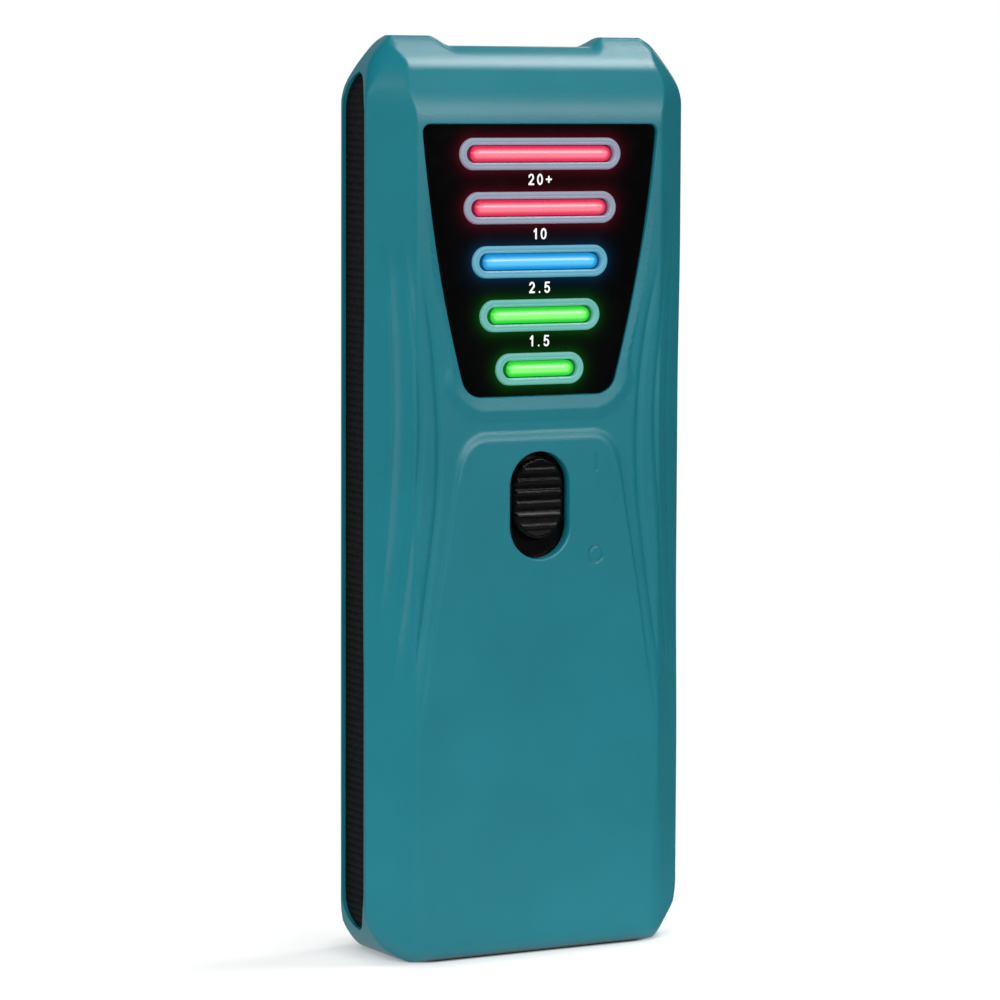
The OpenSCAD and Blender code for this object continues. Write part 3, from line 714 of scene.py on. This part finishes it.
def door_cover(material):
    """The battery door: a plate with a grip dimple row, an inner lip, hooks and a finger tab."""
    door, full = Patchwork(), REAR_DEPTH
    low, high, half = DOOR_LOW + DOOR_GAP, DOOR_HIGH - DOOR_GAP, DOOR_HALF - DOOR_GAP
    plate = rounded(-half, half, low, high, DOOR_R - 0.2, step=0.8)

    def face(x, z):
        bars = np.zeros_like(x)
        for k in range(5):
            half, level = DIMPLE_HALF - DIMPLE_TAPER * k, DIMPLE_Z - DIMPLE_STEP * k
            off = np.hypot(np.maximum(np.abs(x) - half, 0), z - level)
            bars = bars + DIMPLE_DEPTH * (1 - fade(off / 0.75))
        return JOINT_Y + full - bars

    rows = [(-0.25, full), (-0.06, full - 0.07), (0.0, full - 0.25), (0.0, full - 0.98)]
    solid(door, plate, rows, 1, 0.5, face)
    lip = rounded(0.3 - BAY_HALF, BAY_HALF - 0.3, BAY_LOW + 0.4, BAY_HIGH - 0.4, 0.5)
    solid(door, lip, [(0.0, full - 0.95), (0.0, full - WALL + 0.05)], 1)
    for hx in (-HOOK_X, HOOK_X):
        left, right = hx - HOOK_HALF, hx + HOOK_HALF
        root = rounded(left, right, BAY_LOW + 0.4, BAY_LOW + 2, 0.3, 4)
        solid(door, root, [(0.0, full - 1.7), (0.0, full - 3.1)], 1)
        hook = rounded(left, right, DOOR_LOW - 2, BAY_LOW + 1.9, 0.4, 4)
        rows = [(-0.15, full - 2.0), (0.0, full - 2.15), (0.0, full - 2.95), (-0.15, full - 3.1)]
        solid(door, hook, rows, 1)
    tab = rounded(-TAB_HALF, TAB_HALF, high - 0.6, DOOR_HIGH + TAB_REACH, 0.5)
    solid(door, tab, [(-0.18, full - 0.02), (0.0, full - 0.2), (0.0, full - TAB_T)], 1)
    return door.build("door_cover", material)


# ---- display, switch and grips ----


def panel_lens(material):
    """The gloss black panel, cut out round the collars."""
    lens = Patchwork()
    rim = grow(panel_loop(), -0.1)
    collars = [grow(loop, 0.06) for loop in collar_loops()]
    under, bevel = PANEL_SEAT + 0.02, 0.16
    lens.level(grow(rim, -bevel), collars, GRID_SEAT, PANEL_FACE, -1)
    lens.level(rim, collars, GRID_SEAT, under, -1, -1)
    through(lens, rim, [(0.0, under), (0.0, PANEL_FACE - bevel), (-bevel, PANEL_FACE)], -1)
    for loop in collars:
        through(lens, loop, [(0.0, PANEL_FACE), (0.0, under)], -1)
    return lens.build("display_lens", material)


def light_bar(index, material):
    """A domed, round-ended light guide in its collar, with a flange behind the wall."""
    bar, z = Patchwork(), BAR_Z[index]
    gap, flange_reach, dome, base = 0.16, 1.0, 0.6, FRONT_DEPTH - 0.95
    half, h = COLLAR_HALF[index] - COLLAR_BAND - gap, COLLAR_H - 2 * (COLLAR_BAND + gap)
    loop = stadium(half, h, 0.0, z, step=0.2)
    centre = np.stack([np.clip(loop[:, 0], h / 2 - half, half - h / 2), np.full(len(loop), z)], axis=1)
    out = np.array(sideways(loop))
    rows, normals = [], []
    for k in range(9):
        a = math.radians(90 * k / 8)
        ring = centre + (loop - centre) * math.sin(a)
        rows.append(at_depth(ring, base + dome * math.cos(a), -1))
        normals.append(blend_normals([(0.0, -1.0, 0.0)] * len(loop), out, a * 0.85))
    bar.loft(rows, normals)
    under = JOINT_Y - node_box(f"light_bar_{index + 1}")[1][1]
    flange = FRONT_INNER - 0.05
    rim = grow(loop, flange_reach + gap)
    ahead = [(0.0, -1.0, 0.0)] * len(loop)
    for a, da, b, db, way in ((loop, base, loop, flange, out), (loop, flange, rim, flange, ahead),
                              (rim, flange, rim, under, out)):
        bar.loft([at_depth(a, da, -1), at_depth(b, db, -1)], [way] * 2)
    bar.level(rim, [], 0.8, under, -1, -1)
    return bar.build(f"light_guide_{index + 1}", material)


KNOB_Z, KNOB_HALF, KNOB_W = 72.5, 6.45, 9.2
RIB_PITCH, RIB_UP, TALL_RIB_Z, TALL_RIB_UP = 1.78, 0.3, 69.85, 0.42
KNOB_FACE, KNOB_DISH, KNOB_RIM = 8.42, 0.55, 0.35     # depth at its middle, its dish and its edge's round


def thumb_piece(material):
    """The switch's thumb piece: a dished, ribbed pad on a wide plate behind the case."""
    knob = Patchwork()
    plate_low, plate_high = node_box("switch_knob")
    loop = stadium(KNOB_HALF, KNOB_W, 0.0, KNOB_Z, upright=True, step=0.25)

    def face(x, z):
        from_mid = z - KNOB_Z
        out = corner_distance(np.abs(x) - KNOB_W / 2, np.abs(from_mid) - KNOB_HALF, KNOB_W / 2)
        dish = KNOB_DISH * (from_mid / KNOB_HALF) ** 2
        phase = (z - TALL_RIB_Z) / RIB_PITCH
        near = np.abs(phase - np.round(phase)) * RIB_PITCH
        tall = np.abs(z - TALL_RIB_Z) < RIB_PITCH / 2
        rib = (1 - past(near, (0.1, 0.38))) * np.where(tall, TALL_RIB_UP, RIB_UP)
        rib = rib * fade((-out - 0.35) / 0.3) * (np.abs(from_mid) < 5.4)
        rim = KNOB_RIM * (1 - fade(-out / 0.5))
        return JOINT_Y - np.minimum(KNOB_FACE + dish + rib - rim, FRONT_DEPTH - 0.05)

    edge = grow(loop, -0.12)
    start = JOINT_Y - face(edge[:, 0], edge[:, 1])
    seat = JOINT_Y - plate_high[1] + 1.0
    solid(knob, loop, [(-0.12, start), (0.0, start - 0.25), (0.0, seat)], -1, 0.24, face)
    plate = rounded(plate_low[0], plate_high[0], plate_low[2], plate_high[2], 0.8)
    solid(knob, plate, [(-0.1, seat), (0.0, seat - 0.1), (0.0, seat - 0.9), (-0.1, seat - 1.0)], -1)
    return knob.build("thumb_piece", material)


GRIP_SINK, GRIP_PITCH, GRIP_RIB = 0.5, 1.12, 0.26


def side_half(z):
    """Half-width of the case at a height."""
    over = np.maximum(z - (HEIGHT - TOP_REACH), 0)
    under = np.maximum(LOW_REACH - z, 0)
    top = HALF_W - TOP_R + np.sqrt(TOP_R ** 2 - over ** 2)
    low = HALF_W - LOW_R + np.sqrt(LOW_R ** 2 - under ** 2)
    return np.minimum(top, low)


def grip_strip(name, side, material):
    """A ribbed rubber strip, lying in the slot of one side."""
    strip = Patchwork()
    n = int((SLOT_HIGH - SLOT_LOW) / 0.105)
    ease = np.linspace(0, 1, n + 1)
    z = SLOT_LOW + 0.08 + (SLOT_HIGH - SLOT_LOW - 0.16) * (ease - np.sin(2 * math.pi * ease) * 0.002)
    across = np.sin(np.radians(np.linspace(-90, 90, 15)))
    half = np.maximum(slot_half(z) - 0.06, 0)
    zz, cc = np.meshgrid(z, across, indexing="ij")
    yy = JOINT_Y + half[:, None] * cc
    wave = np.abs(np.sin(math.pi * (zz - SLOT_LOW) / GRIP_PITCH)) ** 0.7
    drop = GRIP_RIB * (1 - wave) * (1 - np.abs(cc) ** 6) + 0.12 * np.abs(cc) ** 8
    xx = np.maximum(side_half(zz) - GRIP_SINK - drop, SLOT_FLOOR + 0.05)
    outer = np.stack([xx * side, yy, zz], axis=2)
    along, over = np.gradient(outer, axis=0), np.gradient(outer, axis=1)
    normal = np.cross(along, over)
    normal = normal * np.sign(normal[:, :, :1] * side + 1e-12)
    normal /= np.linalg.norm(normal, axis=2)[:, :, None] + 1e-12
    normal[half < 0.01] = (side, 0, 0)
    rows = [[tuple(p) for p in row] for row in outer]
    strip.loft(rows, [[tuple(v) for v in row] for row in normal], closed=False)
    floor = SLOT_FLOOR * side
    base = [[(floor, p[1], p[2]) for p in row] for row in rows]
    strip.loft(base, [[(-side, 0.0, 0.0)] * len(across)] * len(rows), closed=False)
    for k, way in ((0, -1.0), (-1, 1.0)):
        wall = [[row[k], low[k]] for row, low in zip(rows, base)]
        strip.loft(wall, [[(0.0, way, 0.0)] * 2] * len(rows), closed=False)
        strip.loft([rows[k], base[k]], [[(0.0, 0.0, way)] * len(across)] * 2, closed=False)
    return strip.build(name, material)


LABELS = (("20+", 122.65), ("10", 114.15), ("2.5", 105.75), ("1.5", 97.35))
DIGIT_H, DIGIT_W, STROKE, PRINT_T = 1.78, 1.08, 0.28, 0.02
ADVANCE = {"2": 1.55, "0": 1.6, "1": 1.35, "5": 1.55, "+": 1.6, ".": 1.2}
# strokes of each figure in a box 1 wide and 1 high; an arc is (cx, cz, rx, rz, from, to)
FIGURES = {
    "0": [("arc", 0.5, 0.5, 0.36, 0.42, 0, 180), ("arc", 0.5, 0.5, 0.36, 0.42, 180, 360)],
    "1": [("line", 0.6, 0.08, 0.6, 0.92), ("line", 0.6, 0.92, 0.3, 0.7)],
    "2": [("arc", 0.5, 0.67, 0.34, 0.25, 165, -25), ("line", 0.8, 0.56, 0.16, 0.09),
          ("line", 0.16, 0.08, 0.88, 0.08)],
    "5": [("line", 0.82, 0.92, 0.26, 0.92), ("line", 0.26, 0.92, 0.18, 0.5),
          ("arc", 0.47, 0.34, 0.36, 0.27, 140, -150)],
    "+": [("line", 0.1, 0.5, 0.9, 0.5), ("line", 0.5, 0.26, 0.5, 0.74)],
    ".": [("line", 0.5, 0.07, 0.5, 0.09)],
}


def stroke_path(kind, *v):
    """Middle line of a stroke, in the figure's unit box."""
    if kind == "line":
        return [(v[0], v[1]), (v[2], v[3])]
    cx, cz, rx, rz, a0, a1 = v
    return [(cx + rx * math.cos(a), cz + rz * math.sin(a)) for a in np.radians(np.linspace(a0, a1, 25))]


def ribbon(path, half):
    """Anticlockwise outline of a path drawn with a round pen."""
    p = np.array(path)
    way = np.gradient(p, axis=0)
    way /= np.linalg.norm(way, axis=1)[:, None]
    side = np.stack([way[:, 1], -way[:, 0]], axis=1) * half
    loop = list(map(tuple, p + side))
    for end, tip in ((-1, way[-1]), (0, -way[0])):
        turn = math.degrees(math.atan2(tip[1], tip[0]))
        loop += arc(p[end][0], p[end][1], half, turn - 90, turn + 90, 8)[1:-1]
        if end == -1:
            loop += list(map(tuple, (p - side)[::-1]))
    return np.array(loop)


def numeral(index, text, z, material):
    """A printed number on the display panel."""
    ink = Patchwork()
    x = -sum(ADVANCE[c] for c in text) / 2
    for c in text:
        for stroke in FIGURES[c]:
            left = x + (ADVANCE[c] - DIGIT_W) / 2
            path = [(left + px * DIGIT_W, z + (pz - 0.5) * DIGIT_H) for px, pz in stroke_path(*stroke)]
            rows = [(0.0, PANEL_FACE + PRINT_T), (0.0, PANEL_FACE - 0.01)]
            solid(ink, ribbon(path, STROKE / 2), rows, -1, 0.5)
        x += ADVANCE[c]
    return ink.build(f"numeral_{index}", material)


# ---- materials ----


def rgb(r, g, b):
    """A display colour, 0 to 255, as the linear colour that the shader takes."""
    def linear(c):
        c /= 255
        return c / 12.92 if c <= 0.04045 else ((c + 0.055) / 1.055) ** 2.4
    return linear(r), linear(g), linear(b), 1.0


class Nodes:
    """Small steps that build up a node tree."""

    def __init__(self, tree, coordinates):
        self.tree = tree
        self.where = self.add("ShaderNodeTexCoord").outputs[coordinates]

    def add(self, kind, **values):
        node = self.tree.nodes.new(kind)
        for key, value in values.items():
            setattr(node, key, value)
        return node

    def link(self, source, target):
        self.tree.links.new(source, target)

    def math(self, operation, a, b=None):
        """A Math node on sockets or numbers."""
        node = self.add("ShaderNodeMath", operation=operation)
        for k, value in enumerate((a, b)):
            if isinstance(value, (int, float)):
                node.inputs[k].default_value = value
            elif value is not None:
                self.link(value, node.inputs[k])
        return node.outputs["Value"]

    def ranged(self, source, start, end, low=0.0, high=1.0, **values):
        """A value that runs from low to high while the source runs from start to end."""
        node = self.add("ShaderNodeMapRange", **values)
        for key, value in (("From Min", start), ("From Max", end), ("To Min", low), ("To Max", high)):
            node.inputs[key].default_value = value
        self.link(source, node.inputs["Value"])
        return node.outputs["Result"]

    def ramp(self, source, stops, interpolation="LINEAR"):
        """Colours at positions from 0 to 1."""
        node = self.add("ShaderNodeValToRGB")
        node.color_ramp.interpolation = interpolation
        self.link(source, node.inputs["Fac"])
        spots = node.color_ramp.elements
        (spots[0].position, spots[0].color), (spots[1].position, spots[1].color) = stops[0], stops[-1]
        for position, colour in stops[1:-1]:
            spots.new(position).color = colour
        return node.outputs["Color"]

    def axes(self):
        split = self.add("ShaderNodeSeparateXYZ")
        self.link(self.where, split.inputs["Vector"])
        return split.outputs

    def length(self, a, b):
        """Length of the hypotenuse over two sides."""
        square = self.math("ADD", self.math("MULTIPLY", a, a), self.math("MULTIPLY", b, b))
        return self.math("SQRT", square)


class Finish(Nodes):
    """A principled material with noise in its colour, roughness and bump."""

    def __init__(self, name, **values):
        self.material = bpy.data.materials.new(name)
        self.material.use_nodes = True
        super().__init__(self.material.node_tree, "Object")
        self.shader = self.tree.nodes["Principled BSDF"]
        for key, value in values.items():
            self.shader.inputs[key.replace("_", " ")].default_value = value

    def noise(self, scale, detail=3.0, stretch=(1, 1, 1)):
        where = self.where
        if stretch != (1, 1, 1):
            mapping = self.add("ShaderNodeMapping")
            mapping.inputs["Scale"].default_value = stretch
            self.link(self.where, mapping.inputs["Vector"])
            where = mapping.outputs["Vector"]
        noise = self.add("ShaderNodeTexNoise")
        noise.inputs["Scale"].default_value = scale
        noise.inputs["Detail"].default_value = detail
        self.link(where, noise.inputs["Vector"])
        return noise.outputs["Fac"]

    def spread(self, source, low, high):
        """A 0.3 to 0.7 noise value spread over a range."""
        return self.ranged(source, 0.3, 0.7, low, high)

    def roughness(self, source, low, high):
        self.link(self.spread(source, low, high), self.shader.inputs["Roughness"])

    def tint(self, source, dark, light):
        """Base colour that drifts between two colours."""
        node = self.add("ShaderNodeMix", data_type="RGBA")
        node.inputs["A"].default_value = dark
        node.inputs["B"].default_value = light
        self.link(self.spread(source, 0.0, 1.0), node.inputs["Factor"])
        self.link(node.outputs["Result"], self.shader.inputs["Base Color"])

    def bump(self, source, strength, depth):
        """Bump from a value; depth is in millimetres."""
        node = self.add("ShaderNodeBump")
        node.inputs["Strength"].default_value = strength
        node.inputs["Distance"].default_value = depth * MM
        self.link(source, node.inputs["Height"])
        self.link(node.outputs["Normal"], self.shader.inputs["Normal"])


def moulded(name, dark, light, rough, grain, strength, depth, glow=None, **values):
    """Moulded plastic or rubber with a fine grain and slight colour drift; glow, if given, adds a painted
    glow from the bars.
    """
    finish = Finish(name, **values)
    # painted glow from the bars, put into the emission
    if glow:
        paint_glow_round_bars(finish, *glow)
    finish.tint(finish.noise(60.0, 2.0), rgb(*dark), rgb(*light))
    fine = finish.noise(grain, 4.0)
    finish.roughness(fine, *rough)
    finish.bump(fine, strength, depth)
    return finish.material


def metal(name, colour, rough, stretch=(1, 1, 1)):
    finish = Finish(name, Metallic=1.0)
    dull = tuple(c * 0.85 for c in colour[:3]) + (1.0,)
    finish.tint(finish.noise(220.0, 3.0), dull, colour)
    brushed = finish.noise(900.0, 2.0, stretch)
    finish.roughness(brushed, *rough)
    finish.bump(brushed, 0.15, 0.02)
    return finish.material


def banded(name, low, high, bands):
    """A finish in bands of height: (upper z in mm, colour, metallic) from the bottom up."""
    finish = Finish(name, Roughness=0.32)
    level = finish.ranged(finish.axes()["Z"], low * MM, high * MM)
    starts = [(z - low) / (high - low) for z in [low] + [band[0] for band in bands[:-1]]]
    colours = [band[1] for band in bands]
    metallic = [(band[2],) * 3 + (1.0,) for band in bands]
    for target, values in (("Base Color", colours), ("Metallic", metallic)):
        banding = finish.ramp(level, list(zip(starts, values)), "CONSTANT")
        finish.link(banding, finish.shader.inputs[target])
    scuffed = finish.noise(700.0, 3.0)
    finish.roughness(scuffed, 0.24, 0.4)
    finish.bump(scuffed, 0.1, 0.01)
    return finish.material


def wrapped_cell(name):
    """A cell's printed sleeve, with bare metal at both of its ends."""
    low, high = (node_box("cell_1")[k][2] for k in (0, 1))
    metal_end, sleeve, ring = rgb(196, 198, 200), rgb(38, 40, 46), rgb(176, 142, 66)
    return banded(name, low, high, ((low + 1.1, metal_end, 1.0), (high - 12.0, sleeve, 0.3),
                                    (high - 2.2, ring, 0.8), (high, metal_end, 1.0)))


def wound_wire(name):
    """Enamelled copper wire, with the turns as fine rings across the rod."""
    finish = Finish(name, Metallic=0.9)
    finish.tint(finish.noise(400.0, 2.0), rgb(150, 78, 38), rgb(196, 112, 60))
    turns = finish.add("ShaderNodeTexWave", wave_type="BANDS", bands_direction="X")
    turns.inputs["Scale"].default_value = 900.0
    turns.inputs["Distortion"].default_value = 0.3
    finish.link(finish.where, turns.inputs["Vector"])
    finish.roughness(finish.noise(900.0), 0.25, 0.4)
    finish.bump(turns.outputs["Fac"], 0.8, 0.06)
    return finish.material


def away_from_bar(finish, index, reach, lift=0.0):
    """Distance in metres from a bar's middle line, whose ends lie reach inside the collar's."""
    split, ends = finish.axes(), (COLLAR_HALF[index] - reach) * MM
    beyond = finish.math("SUBTRACT", finish.math("ABSOLUTE", split["X"]), ends)
    dz = finish.math("SUBTRACT", split["Z"], (BAR_Z[index] + lift) * MM)
    return finish.length(finish.math("MAXIMUM", beyond, 0.0), dz)


def lit_bar(index, core, edge):
    """A glowing guide: pale in the middle with a bright streak, then deeper, and dark at its rims."""
    dark = tuple(c * 0.12 for c in edge[:3]) + (1.0,)
    finish = Finish(f"bar_glow_{index + 1}", Base_Color=dark, Roughness=0.3, Emission_Strength=1.0)
    reach = finish.ranged(away_from_bar(finish, index, COLLAR_BAND + 1.9), 0.0, 1.3 * MM)
    middle = tuple(c * 0.3 + e * 0.7 for c, e in zip(core, edge))
    glow = finish.ramp(reach, ((0.0, core), (0.3, core), (0.56, middle), (0.74, edge), (0.88, edge),
                               (1.0, dark)))
    from_streak = away_from_bar(finish, index, COLLAR_BAND + 2.4, 0.3)
    near = finish.math("MULTIPLY", from_streak, -1.0 / (0.16 * MM))
    streak = finish.add("ShaderNodeMix", data_type="RGBA")
    streak.inputs["B"].default_value = tuple(0.45 * c + 0.55 for c in core[:3]) + (1.0,)
    finish.link(finish.math("MULTIPLY", finish.math("EXPONENT", near), 0.7), streak.inputs["Factor"])
    finish.link(glow, streak.inputs["A"])
    finish.link(streak.outputs["Result"], finish.shader.inputs["Emission Color"])
    finish.roughness(finish.noise(900.0, 2.0), 0.24, 0.36)
    return finish.material


def paint_glow_round_bars(finish, colours, reach, level):
    """Painted glow: emission in each bar's colour that spreads from the five bars over the surface and dies
    away with distance.
    """
    total = None
    for k, colour in enumerate(colours):
        far = finish.math("SUBTRACT", away_from_bar(finish, k, COLLAR_H / 2), COLLAR_H / 2 * MM)
        falling = finish.math("MULTIPLY", finish.math("MAXIMUM", far, 0.0), -1.0 / (reach * MM))
        fall = finish.math("EXPONENT", falling)
        tinted = finish.add("ShaderNodeVectorMath", operation="SCALE")
        tinted.inputs[0].default_value = colour[:3]
        finish.link(fall, tinted.inputs["Scale"])
        if total is None:
            total = tinted.outputs["Vector"]
        else:
            both = finish.add("ShaderNodeVectorMath", operation="ADD")
            finish.link(total, both.inputs[0])
            finish.link(tinted.outputs["Vector"], both.inputs[1])
            total = both.outputs["Vector"]
    finish.link(total, finish.shader.inputs["Emission Color"])
    finish.shader.inputs["Emission Strength"].default_value = level


# each bar's light, from the top down: slot, core, edge, and the colour of the painted glow on its collar;
# the edge colour also tints the painted glow on the panel
RED = ("bar_red", rgb(252, 128, 146), rgb(224, 36, 80), rgb(255, 150, 190))
BLUE = ("bar_blue", rgb(84, 198, 252), rgb(16, 140, 210), rgb(70, 200, 255))
GREEN = ("bar_green", rgb(138, 255, 122), rgb(34, 208, 40), rgb(120, 255, 170))
LAMPS = (RED, RED, BLUE, GREEN, GREEN)

CASING = moulded("casing_plastic", (17, 114, 127), (20, 120, 133), (0.3, 0.4), 4200.0, 0.7, 0.04,
                 Specular_IOR_Level=0.5)
# gloss black panel, with a painted glow around the bars in its emission
PANEL_WITH_PAINTED_GLOW = moulded("panel_gloss_painted_glow", (2, 2, 3), (4, 4, 5), (0.1, 0.16), 500.0, 0.02, 0.01,
                glow=([edge for _, _, edge, _ in LAMPS], 0.75, 0.07), Specular_IOR_Level=0.25)
# collars of light teal-grey plastic, with a painted glow in each bar's colour put into their emission
BEZELS_WITH_PAINTED_GLOW = [moulded(f"bezel_{k + 1}", (92, 146, 160), (100, 156, 170), (0.3, 0.42), 3000.0, 0.1, 0.02,
                  Emission_Color=tint, Emission_Strength=0.17) for k, (_, _, _, tint) in enumerate(LAMPS)]
RUBBER = moulded("grip_rubber", (7, 7, 8), (12, 12, 13), (0.55, 0.75), 2200.0, 0.4, 0.04,
                 Specular_IOR_Level=0.2)
KNOB = moulded("knob_plastic", (3, 3, 3), (5, 5, 5), (0.24, 0.32), 400.0, 0.02, 0.005,
               Specular_IOR_Level=0.16)
# white print, with a painted glow: a faint white emission
PRINT_WITH_PAINTED_GLOW = moulded("print_white_painted_glow", (235, 235, 235), (250, 250, 250), (0.45, 0.6), 3000.0, 0.1, 0.01,
                Emission_Color=(1, 1, 1, 1), Emission_Strength=0.25)
BARS = [lit_bar(k, core, edge) for k, (_, core, edge, _) in enumerate(LAMPS)]

# finishes of the CAD nodes that show when the case is open, by material slot
INNER = {
    "steel": metal("steel", rgb(190, 192, 196), (0.25, 0.42), (1, 1, 12)),
    "knob_black": KNOB,
    "copper_wire": wound_wire("winding"),
    "can_aluminium": metal("capacitor_can", rgb(206, 208, 210), (0.22, 0.38), (12, 12, 1)),
    "cell_wrap": wrapped_cell("cell_wrap"),
}
for key, name, *look in (
    ("lamp_package", "lamp_package", (228, 228, 216), (240, 240, 230), (0.25, 0.4), 2600.0, 0.1, 0.01),
    ("board_green", "solder_mask", (14, 84, 44), (24, 104, 56), (0.22, 0.36), 1400.0, 0.15, 0.012),
    ("ferrite", "ferrite", (48, 48, 50), (66, 66, 68), (0.55, 0.8), 3200.0, 0.5, 0.03),
    ("chip_black", "chip_epoxy", (24, 24, 25), (34, 34, 36), (0.5, 0.7), 5200.0, 0.4, 0.02),
    ("trimmer_blue", "trimmer_nylon", (30, 78, 172), (38, 92, 190), (0.3, 0.45), 2200.0, 0.15, 0.02),
    ("chip_ceramic", "chip_ceramic", (168, 138, 98), (190, 160, 118), (0.4, 0.6), 4200.0, 0.2, 0.01),
    ("lead_red", "lead_red", (176, 22, 22), (196, 34, 32), (0.35, 0.5), 1800.0, 0.1, 0.01),
    ("lead_black", "lead_black", (20, 20, 21), (30, 30, 31), (0.35, 0.5), 1800.0, 0.1, 0.01),
):
    INNER[key] = moulded(name, *look)
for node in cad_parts.values():
    for held in node.material_slots:
        key = held.material.name.split(".")[0] if held.material else ""
        if key in INNER:
            held.material = INNER[key]

# ---- pieces on their bodies ----


def place(piece, body, slot, *nodes):
    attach(piece, body)
    if nodes:
        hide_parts(*nodes)


place(front_casing(CASING), "case", "case_plastic", "front_shell")
place(rear_casing(CASING), "case", "case_plastic", "rear_shell")
place(door_cover(CASING), "door", "case_plastic", "battery_door")
place(panel_lens(PANEL_WITH_PAINTED_GLOW), "case", "panel_black", "display_panel")
for k, (slot, *_) in enumerate(LAMPS):
    place(light_bar(k, BARS[k]), "case", slot, f"light_bar_{k + 1}")
    place(bezel(k, BEZELS_WITH_PAINTED_GLOW[k]), "case", "case_plastic")
place(thumb_piece(KNOB), "switch", "knob_black", "switch_knob")
for side, way in (("left", -1), ("right", 1)):
    place(grip_strip(f"grip_strip_{side}", way, RUBBER), "case", "grip_rubber", f"grip_{side}")
for k, (text, z) in enumerate(LABELS):
    place(numeral(k + 1, text, z, PRINT_WITH_PAINTED_GLOW), "case", "panel_black")

# ---- camera, floor and light ----


CAMERA_SPOT, CAMERA_TURN = (-338.4, -606.3, 136.2), (29.04, 5.33, -0.22)   # yaw, pitch down, roll
SENSOR, LENS = 36.0, 157.3


def camera():
    yaw, pitch, roll = (math.radians(a) for a in CAMERA_TURN)
    data = bpy.data.cameras.new("camera")
    data.sensor_width, data.lens = SENSOR, LENS
    data.clip_start, data.clip_end = 0.05, 20.0
    item = in_scene("camera", data)
    forward = Vector((math.sin(yaw) * math.cos(pitch), math.cos(yaw) * math.cos(pitch), -math.sin(pitch)))
    right = Vector((math.cos(yaw), -math.sin(yaw), 0))
    down = forward.cross(right)
    across = right * math.cos(roll) + down * math.sin(roll)
    under = down * math.cos(roll) - right * math.sin(roll)
    turn = Matrix((across, -under, -forward)).transposed().to_4x4()
    item.matrix_world = Matrix.Translation(Vector(CAMERA_SPOT) * MM) @ turn
    bpy.context.scene.camera = item


def soft_light(name, azimuth, elevation, distance, size, power, mirrored=True):
    """An area light round the object: azimuth from the front, positive to the right. Its distance
    and size are in metres."""
    data = bpy.data.lights.new(name, "AREA")
    data.shape = "RECTANGLE"
    data.size, data.size_y = size
    data.energy = power
    item = in_scene(name, data)
    a, e = math.radians(azimuth), math.radians(elevation)
    target = Vector((0, 0, 75)) * MM
    spot = target + Vector((math.sin(a) * math.cos(e), -math.cos(a) * math.cos(e), math.sin(e))) * distance
    turn = (target - spot).to_track_quat("-Z", "Y").to_matrix().to_4x4()
    item.matrix_world = Matrix.Translation(spot) @ turn
    item.visible_glossy = mirrored


def studio():
    """A white surround, brighter behind the object, and plain white to the camera."""
    world = bpy.data.worlds.new("studio")
    bpy.context.scene.world = world
    world.use_nodes = True
    nodes = Nodes(world.node_tree, "Generated")
    axes, dim = nodes.axes(), 0.05
    behind = nodes.ranged(axes["Y"], 0.7, 0.97, dim, 0.6)
    below = nodes.ranged(axes["Z"], -0.2, -0.65, dim, 0.55)
    pick = nodes.add("ShaderNodeMix")
    pick.inputs["B"].default_value = 1.0
    nodes.link(nodes.add("ShaderNodeLightPath").outputs["Is Camera Ray"], pick.inputs["Factor"])
    nodes.link(nodes.math("MAXIMUM", behind, below), pick.inputs["A"])
    back = world.node_tree.nodes["Background"]
    nodes.link(pick.outputs["Result"], back.inputs["Strength"])
    back.inputs["Color"].default_value = (1, 1, 1, 1)


FLOOR_R, FLOOR_FADE = 300.0, (70.0, 170.0)
CONTACT_SHADOW_HALF, CONTACT_SHADOW_ROUND, CONTACT_SHADOW_REACH = (17.6, 5.3), 3.2, 9.0    # painted contact shadow: the dark line where the case stands


def floor_disc():
    """A plain pale floor that fades into the white surround, with a painted contact shadow: dark where the
    case stands, fading to pale a few millimetres out.
    """
    mesh = bpy.data.meshes.new("floor")
    ring = [tuple(p) + (0.0,) for p in circle(0, 0, FLOOR_R, 72) * MM]
    mesh.from_pydata(ring, [], [tuple(range(len(ring)))])
    finish = Finish("floor_white_painted_shadow", Roughness=0.8, Emission_Strength=0.45)
    reach = finish.add("ShaderNodeVectorMath", operation="LENGTH")
    finish.link(finish.where, reach.inputs[0])
    start, end = (r * MM for r in FLOOR_FADE)
    faded = finish.ranged(reach.outputs["Value"], start, end, 1.0, 0.0, interpolation_type="SMOOTHSTEP")
    finish.link(faded, finish.shader.inputs["Alpha"])
    split, beyond = finish.axes(), []
    for axis, half in zip("XY", CONTACT_SHADOW_HALF):
        out = finish.math("SUBTRACT", finish.math("ABSOLUTE", split[axis]), half * MM)
        beyond.append(finish.math("MAXIMUM", out, 0.0))
    clear = finish.math("SUBTRACT", finish.length(*beyond), CONTACT_SHADOW_ROUND * MM)
    # painted contact shadow: the floor's colour and emission run from near black at the case's footprint
    # through grey to pale
    dark, dim, pale = ((c, c, c, 1) for c in (0.01, 0.6, 0.85))
    reach = finish.math("DIVIDE", clear, CONTACT_SHADOW_REACH * MM)
    painted_shadow = finish.ramp(reach, ((0.02, dark), (0.17, dim), (1.0, pale)))
    for target in ("Base Color", "Emission Color"):
        finish.link(painted_shadow, finish.shader.inputs[target])
    mesh.materials.append(finish.material)
    item = in_scene("floor", mesh)
    item.visible_glossy = False


camera()
studio()
floor_disc()
bpy.context.scene.view_settings.view_transform = "Standard"
soft_light("key", -57, 36, 1.1, (0.7, 0.7), 7.4, mirrored=False)
soft_light("overhead", 84, 61, 0.9, (0.4, 0.25), 4.6)
soft_light("low_strip", 14, 19, 1.0, (1.0, 0.08), 5.0)
soft_light("side_strip", -74, 3, 1.0, (0.14, 0.9), 1.3)
soft_light("rim", 142, 12, 1.0, (0.25, 0.8), 1.2)
